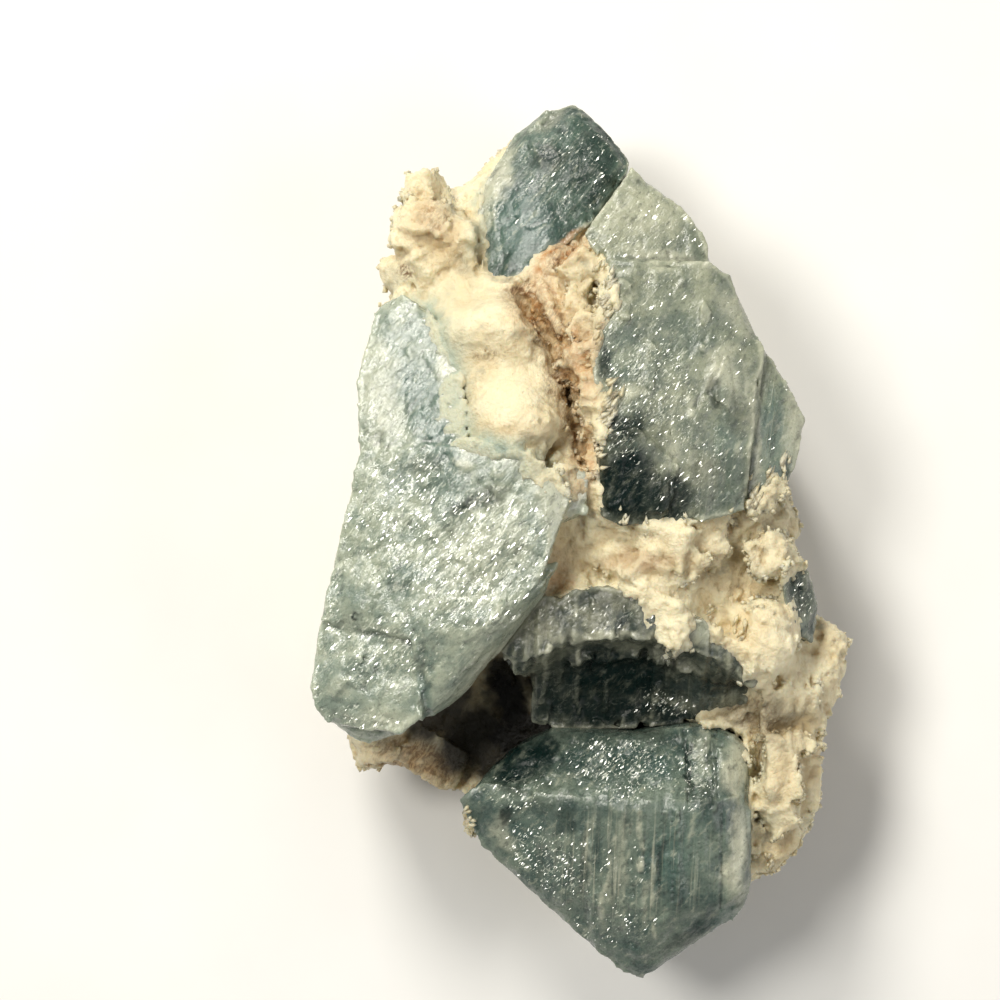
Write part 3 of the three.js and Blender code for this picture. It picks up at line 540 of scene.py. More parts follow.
def dressed_rock():
    window = Window("matrix")
    values = window.own.copy()
    add_banks(window, values)
    index = np.nonzero(np.abs(values) < window.voxel * MELT_BAND)
    points = window.points(index)
    even = blurred(values, MELT_STEPS) - MELT_GROWTH
    melted = blots(points, MELTED, 1.2, 150, (0.4, 1.2))
    values[index] += melted * (even[index] - values[index])
    add_creeps(window, values)
    index = np.nonzero(np.abs(values) < window.voxel * RELIEF_BAND)
    points = window.points(index)
    upward = window.upward(values, index)
    near = ease(1.2, 0.1, window.rest[index])
    dressed = values.copy()
    dressed[index] -= rock_relief(points, upward) * (1 - 0.6 * near) + 0.3 * near * ease(0.5, -0.3, upward)
    points, quads = window.surface(dressed)
    piece = make_mesh("matrix.rock", points, quads)
    push(piece, fine_rock_relief(points))
    return piece, thinned_and_bent(piece, window, dressed, TRIANGLES_MOST["matrix"])


# ---------------------------------------------------------------- crumbs and blades of the rock

CRUMBS = 7400
CRUMB_SIZE = (0.12, 0.36)
# Where crumbs lie thick: x, y, half sizes, degrees, share.
CRUMBLY = [
    (-2, 24, 3.4, 9, 15, 1.0), (1.4, 24, 2, 9, 0, 0.9), (0.4, 10, 2, 8, 0, 0.8), (-17, 37, 4, 6, 20, 0.6),
    (10, -2.4, 11, 3.4, 0, 0.8), (21, -4, 4, 7, 0, 0.8), (24, 2, 3, 6, 0, 0.7), (28, -15, 4, 6, 0, 0.7),
    (25, -28, 5, 10, 0, 0.7), (24, -37, 4, 4, 0, 0.6), (-13.4, -34, 2, 3, 20, 1.0),
    (-6, 36, 4, 3, 40, 0.7),
]
# Pointed blades on the crystals' edges: x, y, heading, fan of headings, blades, and their longest.
TUFTS = [
    (3.9, 29.8, 50, 50, 24, 1.7), (3.2, 27.6, 35, 50, 18, 1.5), (2.6, 31.8, 65, 50, 12, 1.5),
    (2.1, 24.6, 30, 50, 14, 1.3), (1.8, 21.4, 25, 50, 8, 1.1), (4.0, 17.0, 50, 50, 20, 1.6),
    (3.6, 14.2, 45, 50, 16, 1.5), (2.4, 10.4, 30, 50, 12, 1.2), (5, 2.6, 80, 70, 8, 1.1),
    (8.4, 2.3, 90, 70, 8, 1.1), (12.6, 2.4, 80, 70, 8, 1.1), (18, 3.6, 80, 60, 16, 1.6),
    (21.0, 5.2, 72, 50, 18, 1.9), (22.8, 7.6, 70, 40, 14, 2.0), (24.4, 9.4, 75, 40, 10, 1.8),
    (-12.9, -34.4, 200, 120, 10, 1.0), (-13.4, -32.6, 180, 120, 8, 1.0), (23, -38.4, 270, 90, 12, 1.2),
    (26.4, -33, 300, 90, 12, 1.2), (20.4, -26, 90, 60, 8, 1.4), (11.8, -11.6, 250, 80, 8, 1.4),
    (19, -11.4, 250, 80, 8, 1.4), (15.4, -8.4, 230, 80, 6, 1.3),
]
TUFT_LOW = 15.0        # height under which no blade grows
BLADE_THICK = 0.28
CRUMB_CORNERS = np.array([(x, y, z) for x in (-1, 1) for y in (-1, 1) for z in (-1, 1)], dtype=float)
CRUMB_FACES = np.array([(0, 1, 3), (0, 3, 2), (4, 6, 7), (4, 7, 5), (0, 4, 5), (0, 5, 1),
                        (2, 3, 7), (2, 7, 6), (0, 2, 6), (0, 6, 4), (1, 5, 7), (1, 7, 3)])
BLADE_CORNERS = np.array([(1, 0, 0.1), (-0.4, 0, 0), (0, 1, 0), (0, -1, 0), (0, 0, 1), (0, 0, -1)],
                         dtype=float)
BLADE_FACES = np.array([(0, 2, 4), (2, 1, 4), (1, 3, 4), (3, 0, 4),
                        (2, 0, 5), (1, 2, 5), (3, 1, 5), (0, 3, 5)])


def tumbled(dice, count):
    """Random turns."""
    w, x, y, z = dice.normal(size=(4, count))
    length = np.sqrt(w * w + x * x + y * y + z * z)
    w, x, y, z = w / length, x / length, y / length, z / length
    rows = [[1 - 2 * (y * y + z * z), 2 * (x * y - z * w), 2 * (x * z + y * w)],
            [2 * (x * y + z * w), 1 - 2 * (x * x + z * z), 2 * (y * z - x * w)],
            [2 * (x * z - y * w), 2 * (y * z + x * w), 1 - 2 * (x * x + y * y)]]
    return np.array(rows).transpose(2, 0, 1)


def scattered_crumbs(dice, place, normals):
    """Corners of the crumbs that sit on the rock's skin."""
    thick = blots(place, CRUMBLY, 1.0, 85) + 0.06
    thick *= 1 - 0.95 * blots(place, SMOOTH, 1.2, 80)
    thick *= ease(2.0, 12.0, place[:, 2]) * ease(-0.2, 0.7, normals[:, 2])
    seats_at = dice.choice(len(place), CRUMBS, replace=False, p=thick / thick.sum())
    size = dice.uniform(*CRUMB_SIZE, (CRUMBS, 1, 1)) * dice.uniform(0.5, 1.1, (CRUMBS, 1, 3))
    shape = (CRUMB_CORNERS + dice.uniform(-0.3, 0.3, (CRUMBS, len(CRUMB_CORNERS), 3))) * size
    shape = np.einsum("nij,nkj->nki", tumbled(dice, CRUMBS), shape)
    centres = place[seats_at] - normals[seats_at] * size.mean(axis=2) * 0.5
    return shape + centres[:, None]


def blades(dice):
    """Corners of the pointed blades on the crystals' edges."""
    solids = []
    for x, y, heading, fan, count, longest in TUFTS:
        for _ in range(count):
            length = longest * dice.uniform(0.35, 1)
            shape = BLADE_CORNERS * (length, 0.16 * length + 0.12, BLADE_THICK)
            rise = dice.uniform(-0.1, 0.1)
            shape[:, 2] += rise * np.maximum(shape[:, 0], 0)
            angle = math.radians(heading + fan * (dice.random() - 0.5))
            cos, sin = math.cos(angle), math.sin(angle)
            flat = np.stack([shape[:, 0] * cos - shape[:, 1] * sin,
                             shape[:, 0] * sin + shape[:, 1] * cos, shape[:, 2]], axis=1)
            px = x + dice.normal(0, 0.35) - 0.5 * length * cos
            py = y + dice.normal(0, 0.8) - 0.5 * length * sin
            seat = min(top_height(px, py), top_height(px + 0.8, py + 0.5))
            lift = dice.uniform(0.2, 0.7)
            if seat > TUFT_LOW:
                solids.append(flat + (px, py, seat + lift))
    return np.array(solids)


def loose_bits(rock, place):
    """All crumbs and blades as one mesh object."""
    dice = np.random.default_rng(41)
    normals = np.empty(len(place) * 3, dtype=np.float32)
    rock.data.vertex_normals.foreach_get("vector", normals)
    crumbs = scattered_crumbs(dice, place, normals.reshape(-1, 3))
    kinds = [(crumbs, CRUMB_FACES), (blades(dice), BLADE_FACES)]
    corners = []
    triangles = []
    start = 0
    for solids, faces in kinds:
        count, each = solids.shape[:2]
        corners.append(solids.reshape(-1, 3))
        triangles.append((faces[None] + start + each * np.arange(count)[:, None, None]).reshape(-1, 3))
        start += count * each
    piece = make_mesh("matrix.crumbs", np.concatenate(corners), np.concatenate(triangles))
    place = plan_points(piece)
    paint(piece, "bend", np.zeros(len(place)))
    return piece, place


# ---------------------------------------------------------------- meshes

def make_mesh(name, points, faces):
    """A closed mesh object from points in the plan's millimetres and faces of equal count."""
    mesh = bpy.data.meshes.new(name)
    mesh.vertices.add(len(points))
    mesh.vertices.foreach_set("co", frame_places(points).ravel())
    mesh.loops.add(faces.size)
    mesh.loops.foreach_set("vertex_index", faces.astype(np.int32).ravel())
    mesh.polygons.add(len(faces))
    mesh.polygons.foreach_set("loop_start", np.arange(0, faces.size, faces.shape[1], dtype=np.int32))
    mesh.update(calc_edges=True)
    mesh.validate()
    piece = bpy.data.objects.new(name, mesh)
    bpy.context.scene.collection.objects.link(piece)
    return piece


def frame_places(points):
    """Points of the plan as places in the frame, in metres, and never under the floor."""
    place = (points + HOME) * MM
    place[:, 2] = np.maximum(place[:, 2], 0)
    return place.astype(np.float32)


def plan_points(piece):
    corners = np.empty(len(piece.data.vertices) * 3, dtype=np.float32)
    piece.data.vertices.foreach_get("co", corners)
    return (corners.reshape(-1, 3) / MM - HOME).astype(np.float32)


def push(piece, amount):
    """Moves each corner out along its normal, by millimetres."""
    normals = np.empty(len(piece.data.vertices) * 3, dtype=np.float32)
    piece.data.vertex_normals.foreach_get("vector", normals)
    place = plan_points(piece) + normals.reshape(-1, 3) * amount[:, None]
    piece.data.vertices.foreach_set("co", frame_places(place).ravel())
    piece.data.update()


def thin_out(piece, most):
    """Leaves the mesh at most that many triangles, fewer where it is flat."""
    triangles = len(piece.data.polygons) * 2
    if triangles > most:
        thin = piece.modifiers.new("thin", "DECIMATE")
        thin.ratio = most / triangles
        bpy.context.view_layer.update()
        evaluated = piece.evaluated_get(bpy.context.evaluated_depsgraph_get())
        thinned = bpy.data.meshes.new_from_object(evaluated)
        piece.modifiers.clear()
        piece.data = thinned
    piece.data.shade_smooth()


def paint(piece, label, values):
    layer = piece.data.attributes.new(label, "FLOAT", "POINT")
    layer.data.foreach_set("value", values.astype(np.float32))


# ---------------------------------------------------------------- shader helpers

def srgb(red, green, blue):
    """A colour given as 0 to 255 on a screen, as a linear colour."""
    def channel(level):
        level /= 255
        return level / 12.92 if level <= 0.04045 else ((level + 0.055) / 1.055) ** 2.4
    return (channel(red), channel(green), channel(blue), 1.0)


class Shader:
    """A material's node tree, with short names for the nodes that it uses."""

    def __init__(self, name):
        self.material = bpy.data.materials.new(name)
        self.material.use_nodes = True
        self.tree = self.material.node_tree
        self.principled = self.tree.nodes["Principled BSDF"]
        self.place = self.stretched(self.node("TexCoord", {})["Object"], (MM, MM, MM))
        self.normal = self.node("NewGeometry", {})["Normal"]

    def link(self, source, socket):
        if hasattr(source, "is_output"):
            self.tree.links.new(source, socket)
        else:
            socket.default_value = source

    def node(self, kind, sockets, **settings):
        """Adds a node, joins or sets its sockets, and gives its outputs."""
        node = self.tree.nodes.new("ShaderNode" + kind)
        for label, value in settings.items():
            setattr(node, label, value)
        for key, source in sockets.items():
            self.link(source, node.inputs[key])
        return node.outputs

    def stretched(self, vector, size, degrees=0.0):
        """Coordinates turned about Z and divided by size."""
        sockets = {"Vector": vector, "Rotation": (0, 0, math.radians(degrees)), "Scale": size}
        return self.node("Mapping", sockets, vector_type="TEXTURE")["Vector"]

    def warped(self, vector, scale, amount):
        """Coordinates shifted by soft noise."""
        cloud = self.node("TexNoise", {"Vector": vector, "Scale": scale, "Detail": 1.0})["Color"]
        shift = self.vector("SUBTRACT", cloud, (0.5, 0.5, 0.5))
        return self.vector("ADD", vector, self.vector("SCALE", shift, scale=amount))

    def noise(self, vector, scale=1.0, detail=3.0, roughness=0.5):
        sockets = {"Vector": vector, "Scale": scale, "Detail": detail, "Roughness": roughness}
        return self.node("TexNoise", sockets)["Fac"]

    def voronoi(self, vector, scale=1.0, distance="EUCLIDEAN"):
        """Distance to the nearest cell's seed, and that cell's random colour."""
        outputs = self.node("TexVoronoi", {"Vector": vector, "Scale": scale}, distance=distance)
        return outputs["Distance"], outputs["Color"]

    def seams(self, vector):
        """Distance to the nearest border between cells."""
        sockets = {"Vector": vector, "Scale": 1.0}
        return self.node("TexVoronoi", sockets, feature="DISTANCE_TO_EDGE")["Distance"]

    def part(self, colour, channel):
        return self.node("SeparateColor", {"Color": colour})[channel]

    def attribute(self, label):
        return self.node("Attribute", {}, attribute_name=label)["Fac"]

    def math(self, operation, first, second=0.0):
        return self.node("Math", {0: first, 1: second}, operation=operation)["Value"]

    def times(self, first, second):
        return self.math("MULTIPLY", first, second)

    def vector(self, operation, first, second=None, scale=None):
        sockets = {0: first, 1: second, "Scale": scale}
        given = {key: source for key, source in sockets.items() if source is not None}
        return self.node("VectorMath", given, operation=operation)["Vector"]

    def ramp(self, value, low, high, from_value=0.0, to_value=1.0):
        """A smooth step of value between low and high."""
        sockets = dict(enumerate((value, low, high, from_value, to_value)))
        return self.node("MapRange", sockets, interpolation_type="SMOOTHSTEP")["Result"]

    def mix(self, share, first, second):
        return self.node("Mix", {0: share, 6: first, 7: second}, data_type="RGBA")[2]

    def tinted(self, colour, share, tone):
        """The colour, moved by share towards a tone given as 0 to 255 on a screen."""
        return self.mix(share, colour, srgb(*tone))

    def blend(self, share, first, second):
        """A number between first and second."""
        return self.node("Mix", {0: share, 2: first, 3: second}, data_type="FLOAT")[0]

    def leaning(self, chance, towards, amount):
        """A direction that leans at random by amount about the given one, by a cell's colour."""
        lean = self.vector("SCALE", self.vector("SUBTRACT", chance, (0.5, 0.5, 0.5)), scale=amount)
        return self.vector("NORMALIZE", self.vector("ADD", towards, lean))

    def between(self, share, first, second):
        """A direction between two."""
        way = self.vector("SUBTRACT", second, first)
        return self.vector("NORMALIZE", self.vector("ADD", first, self.vector("SCALE", way, scale=share)))

    def bump(self, height, normal, distance, strength=1.0):
        sockets = {"Strength": strength, "Distance": distance, "Height": height, "Normal": normal}
        return self.node("Bump", sockets)["Normal"]

    def finish(self, **sockets):
        for label, source in sockets.items():
            self.link(source, self.principled.inputs[label.replace("_", " ")])
        return self.material


# ---------------------------------------------------------------- crystal material

# Body and pale colours, the direction that a crystal's tiny cleavage flecks face, its gloss, how pale its
# edges are, and the size of its flecks.
Look = namedtuple("Look", "body pale face gloss rim fleck")
CRYSTAL_LOOKS = {
    "crystal_left": Look((130, 144, 130), (168, 176, 155), (-0.24, 0.08, 0.97), 1.0, 0.12, 1.3),
    "crystal_right": Look((108, 117, 102), (156, 160, 136), (-0.18, 0.12, 0.97), 0.6, 0.3, 1.0),
    "crystal_top": Look((52, 72, 65), (80, 101, 89), (-0.18, 0.16, 0.97), 0.6, 0.3, 1.0),
    "crystal_middle": Look((56, 66, 60), (120, 122, 104), (-0.15, 0.12, 0.98), 0.5, 0.25, 1.0),
    "crystal_bottom": Look((70, 88, 81), (112, 125, 111), (-0.15, 0.16, 0.97), 0.6, 0.08, 1.0),
    "crystal_edge": Look((70, 84, 78), (116, 124, 110), (-0.15, 0.12, 0.98), 0.5, 0.2, 1.0),
}
DEEP = (8, 26, 24)
TEAL = (70, 100, 92)
FROST = (206, 206, 182)
SILVER_AND_PAINTED_GLINT = (222, 226, 208)
RUST = (176, 120, 58)
# Sizes in millimetres of the flecks and of the facets between them, along, across and upright.
LARGE_FLECK = (1.2, 0.28, 0.9)
SMALL_FLECK = (0.65, 0.17, 0.5)
FACET = (1.3, 0.5, 0.9)


def fleck_share(shader, vector, size, density):
    """Where small elongated flecks lie, and the random colour of each."""
    far, chance = shader.voronoi(shader.stretched(vector, size, FLECK_TURN), 1.0, "MANHATTAN")
    chosen = shader.math("LESS_THAN", shader.part(chance, "Red"), density)
    return shader.times(shader.ramp(far, 0.48, 0.36), chosen), chance


def foil_seams(shader, fleck):
    """Broken, curved seams in the foil-like cleavage."""
    curved = shader.warped(shader.place, 0.9, 1.0)
    seam = shader.ramp(shader.seams(shader.stretched(curved, (1.5, 0.6, 1.1), FLECK_TURN)), 0.09, 0.02)
    broken = shader.noise(shader.stretched(shader.place, (1.6, 0.8, 1.2), 20), 1.0, 3.0, 0.7)
    seam = shader.times(seam, shader.ramp(broken, 0.52, 0.6))
    return shader.times(seam, shader.ramp(fleck, 0.0, 0.7, 0.12, 0.9))


def banded(shader, colour, turn, lines, pale):
    """The colour with fine pale lines, and with broad dark and pale bands, along the cleavage."""
    colour = shader.tinted(colour, shader.times(lines, 0.45), FROST)
    bands = shader.noise(shader.stretched(shader.place, (16.0, 1.1, 16.0), turn), 1.0, 3.0)
    share = shader.attribute("lines")
    colour = shader.tinted(colour, shader.times(shader.ramp(bands, 0.47, 0.36, 0.0, 0.4), share), DEEP)
    light = shader.times(shader.ramp(bands, 0.5, 0.62), share)
    return shader.tinted(colour, shader.times(light, 0.5), pale)


def crystal_colour(shader, look, turn, veil, grain, lines, depth):
    """The clouded body with its veils and patches, its bands and its pale edges; painted shade in its
    hollows; and its deep places, partly the crystal's clear dark zones and partly painted shade.
    """
    cloud = shader.noise(shader.place, 0.22, 5.0, 0.62)
    bend = shader.attribute("bend")
    colour = shader.mix(shader.ramp(cloud, 0.38, 0.62), srgb(*look.body), srgb(*look.pale))
    for label, tone in (("teal", TEAL), ("frost_and_painted_light", FROST)):
        colour = shader.tinted(colour, shader.attribute(label), tone)
    colour = shader.tinted(colour, shader.ramp(veil, 0.47, 0.3, 0.0, 0.45), DEEP)
    colour = shader.tinted(colour, shader.ramp(veil, 0.55, 0.72, 0.0, 0.35), FROST)
    colour = shader.tinted(colour, shader.ramp(grain, 0.46, 0.3, 0.0, 0.4), DEEP)
    colour = banded(shader, colour, turn, lines, look.pale)
    crest = shader.times(shader.attribute("crest"), shader.ramp(veil, 0.35, 0.6, 0.1, 0.6))
    colour = shader.tinted(colour, crest, FROST)
    colour = shader.tinted(colour, shader.ramp(bend, 0.04, 0.2, 0.0, look.rim), FROST)
    # painted shade: darker teal where the surface bends inwards, in creases and hollows
    colour = shader.tinted(colour, shader.ramp(bend, -0.05, -0.2, 0.0, 0.35), DEEP)
    # the deep patches: partly the crystal's own clear dark zones, partly painted shade on walls and facets
    # that lie in shade
    colour = shader.tinted(colour, depth, DEEP)
    return shader.tinted(colour, shader.attribute("stain"), RUST)


def crystal_material(name, look):
    shader = Shader(name)
    turn = CRYSTAL_RELIEF[name].turn
    place = shader.place
    loose = shader.warped(place, 1.6, 0.35)
    facing = shader.ramp(shader.part(shader.normal, "Blue"), 0.4, 0.8)
    fleck = shader.times(shader.attribute("fleck"), facing)
    veil = shader.noise(shader.stretched(loose, (2.2, 0.8, 1.6), FLECK_TURN), 1.0, 4.0, 0.65)
    grain = shader.noise(place, 2.6, 3.0, 0.7)
    streak = shader.noise(shader.stretched(place, (11.0, 0.3, 11.0), turn), 1.0, 2.0)
    lines = shader.times(shader.ramp(streak, 0.56, 0.7), shader.attribute("lines"))
    depth = shader.times(shader.attribute("deep"), shader.ramp(veil, 0.75, 0.45, 0.75, 1.0))
    colour = crystal_colour(shader, look, turn, veil, grain, lines, depth)

    large_size, small_size, facet_size = (
        tuple(side * look.fleck for side in size) for size in (LARGE_FLECK, SMALL_FLECK, FACET))
    large, large_chance = fleck_share(shader, loose, large_size, fleck)
    small, small_chance = fleck_share(shader, loose, small_size, fleck)
    flecks = shader.math("MAXIMUM", large, small)
    seam = foil_seams(shader, fleck)
    foil = shader.noise(shader.stretched(loose, (0.9, 0.32, 0.6), FLECK_TURN), 1.0, 3.0, 0.6)
    # painted shade: teal where the foil crumple lies low, between its ridges
    painted_foil_shade = shader.times(shader.ramp(foil, 0.48, 0.36, 0.0, 0.4), fleck)
    # partly the silvery cleavage and partly painted glints: the flecks and seams are tinted silver
    colour = shader.tinted(colour, shader.times(flecks, 0.4), SILVER_AND_PAINTED_GLINT)
    colour = shader.tinted(colour, shader.times(seam, 0.5), SILVER_AND_PAINTED_GLINT)
    colour = shader.tinted(colour, painted_foil_shade, TEAL)

    height = shader.times(foil, shader.blend(fleck, 0.45, 1.7))
    height = shader.math("ADD", height, shader.times(grain, 0.4))
    height = shader.math("ADD", height, shader.times(lines, 0.4))
    normal = shader.bump(height, shader.normal, 0.2 * MM, 1.0)
    _, facet = shader.voronoi(shader.stretched(loose, facet_size, FLECK_TURN))
    facet_face = shader.leaning(facet, shader.normal, 0.55)
    normal = shader.between(shader.blend(fleck, 0.12, 0.6), normal, facet_face)
    normal = shader.between(shader.times(seam, 0.6), normal, shader.leaning(facet, look.face, 0.2))
    normal = shader.between(small, normal, shader.leaning(small_chance, look.face, 0.34))
    normal = shader.between(large, normal, shader.leaning(large_chance, look.face, 0.26))
    rough = shader.ramp(shader.noise(place, 0.7, 3.0), 0.35, 0.7, 0.2, 0.36)
    clear = shader.times(depth, shader.math("SUBTRACT", 1.0, flecks))
    return shader.finish(
        Base_Color=colour, Roughness=shader.blend(flecks, rough, 0.12), Normal=normal, IOR=1.62,
        Specular_IOR_Level=shader.blend(clear, look.gloss, 0.3 * look.gloss),
        Subsurface_Weight=0.35, Subsurface_Radius=(1.0, 1.2, 1.1), Subsurface_Scale=1.8 * MM)


# ---------------------------------------------------------------- rock material

CREAM = (222, 206, 166)
MILK = (236, 226, 192)
SAND = (198, 174, 128)
BROWN = (104, 70, 34)
RUST_SAND = (184, 124, 56)
PINK = (170, 138, 104)
GREY = (150, 150, 128)
ICE = (168, 181, 164)
# near-black tone of the painted shade
SHADE_DARK = (22, 20, 14)


def rock_colour(shader, loose, grainy):
    """Cream clouded with MILK, SAND and GREY, then patches partly of painted light and shade, the stains,
    and painted shade.
    """
    place = shader.place
    bend = shader.attribute("bend")
    cloud = shader.noise(place, 0.24, 4.0, 0.6)
    fibre = shader.noise(shader.stretched(loose, (1.0, 0.25, 1.0), 60), 1.0, 3.0)
    colour = shader.mix(shader.ramp(cloud, 0.36, 0.64), srgb(*CREAM), srgb(*MILK))
    colour = shader.tinted(colour, shader.ramp(grainy, 0.52, 0.7, 0.0, 0.55), SAND)
    colour = shader.tinted(colour, shader.ramp(shader.noise(place, 0.45, 4.0), 0.56, 0.72, 0.0, 0.5), GREY)
    # some of these patches are painted light on rock in shade, some painted shade on a shadowed slope
    for label, tone in (("milk_and_painted_light", MILK), ("sand", SAND), ("pink", PINK), ("grey_and_shade", GREY), ("ice", ICE)):
        colour = shader.tinted(colour, shader.attribute(label), tone)
    rusty = shader.ramp(shader.noise(loose, 1.0, 5.0, 0.7), 0.38, 0.58, 0.3, 1.0)
    # the iron-stain patches are mostly real stain; on the slope right of crystal_middle they are painted
    # shade
    brown_and_shade = shader.ramp(shader.math("ADD", grainy, fibre), 0.85, 1.15, 0.15, 1.0)
    for label, patchy, tone in (("rust", rusty, RUST_SAND), ("brown_and_shade", brown_and_shade, BROWN)):
        share = shader.math("MINIMUM", shader.times(shader.attribute(label), patchy), 1.0)
        colour = shader.tinted(colour, share, tone)
    colour = shader.tinted(colour, shader.ramp(bend, 0.02, 0.2, 0.0, 0.35), MILK)
    # painted shade: sandier and darker where the rock bends inwards, in its hollows
    colour = shader.tinted(colour, shader.ramp(bend, -0.05, -0.3, 0.0, 0.5), SAND)
    # painted shade: near black in the recess and hole under crystal_left, along the foot of
    # crystal_middle's wall and on the shadowed slope
    return shader.tinted(colour, shader.attribute("painted_shade"), SHADE_DARK)


def rock_material():
    shader = Shader("matrix")
    place = shader.place
    loose = shader.warped(place, 0.8, 0.8)
    grainy = shader.noise(loose, 1.5, 4.0, 0.65)
    far, chance = shader.voronoi(loose, 1.5)
    grain_face = shader.leaning(chance, shader.normal, 0.55)
    normal = shader.between(shader.ramp(far, 0.6, 0.25), shader.normal, grain_face)
    height = shader.math("ADD", shader.noise(place, 1.9, 4.0, 0.65), shader.times(grainy, 0.6))
    normal = shader.bump(height, normal, 0.3 * MM, 0.9)
    rough = shader.ramp(shader.noise(place, 1.1, 2.0), 0.35, 0.7, 0.34, 0.62)
    return shader.finish(
        Base_Color=rock_colour(shader, loose, grainy), Roughness=rough, Normal=normal, IOR=1.55,
        Subsurface_Weight=0.4, Subsurface_Radius=(1.5, 1.1, 0.7), Subsurface_Scale=1.3 * MM)


# ---------------------------------------------------------------- where the colours lie

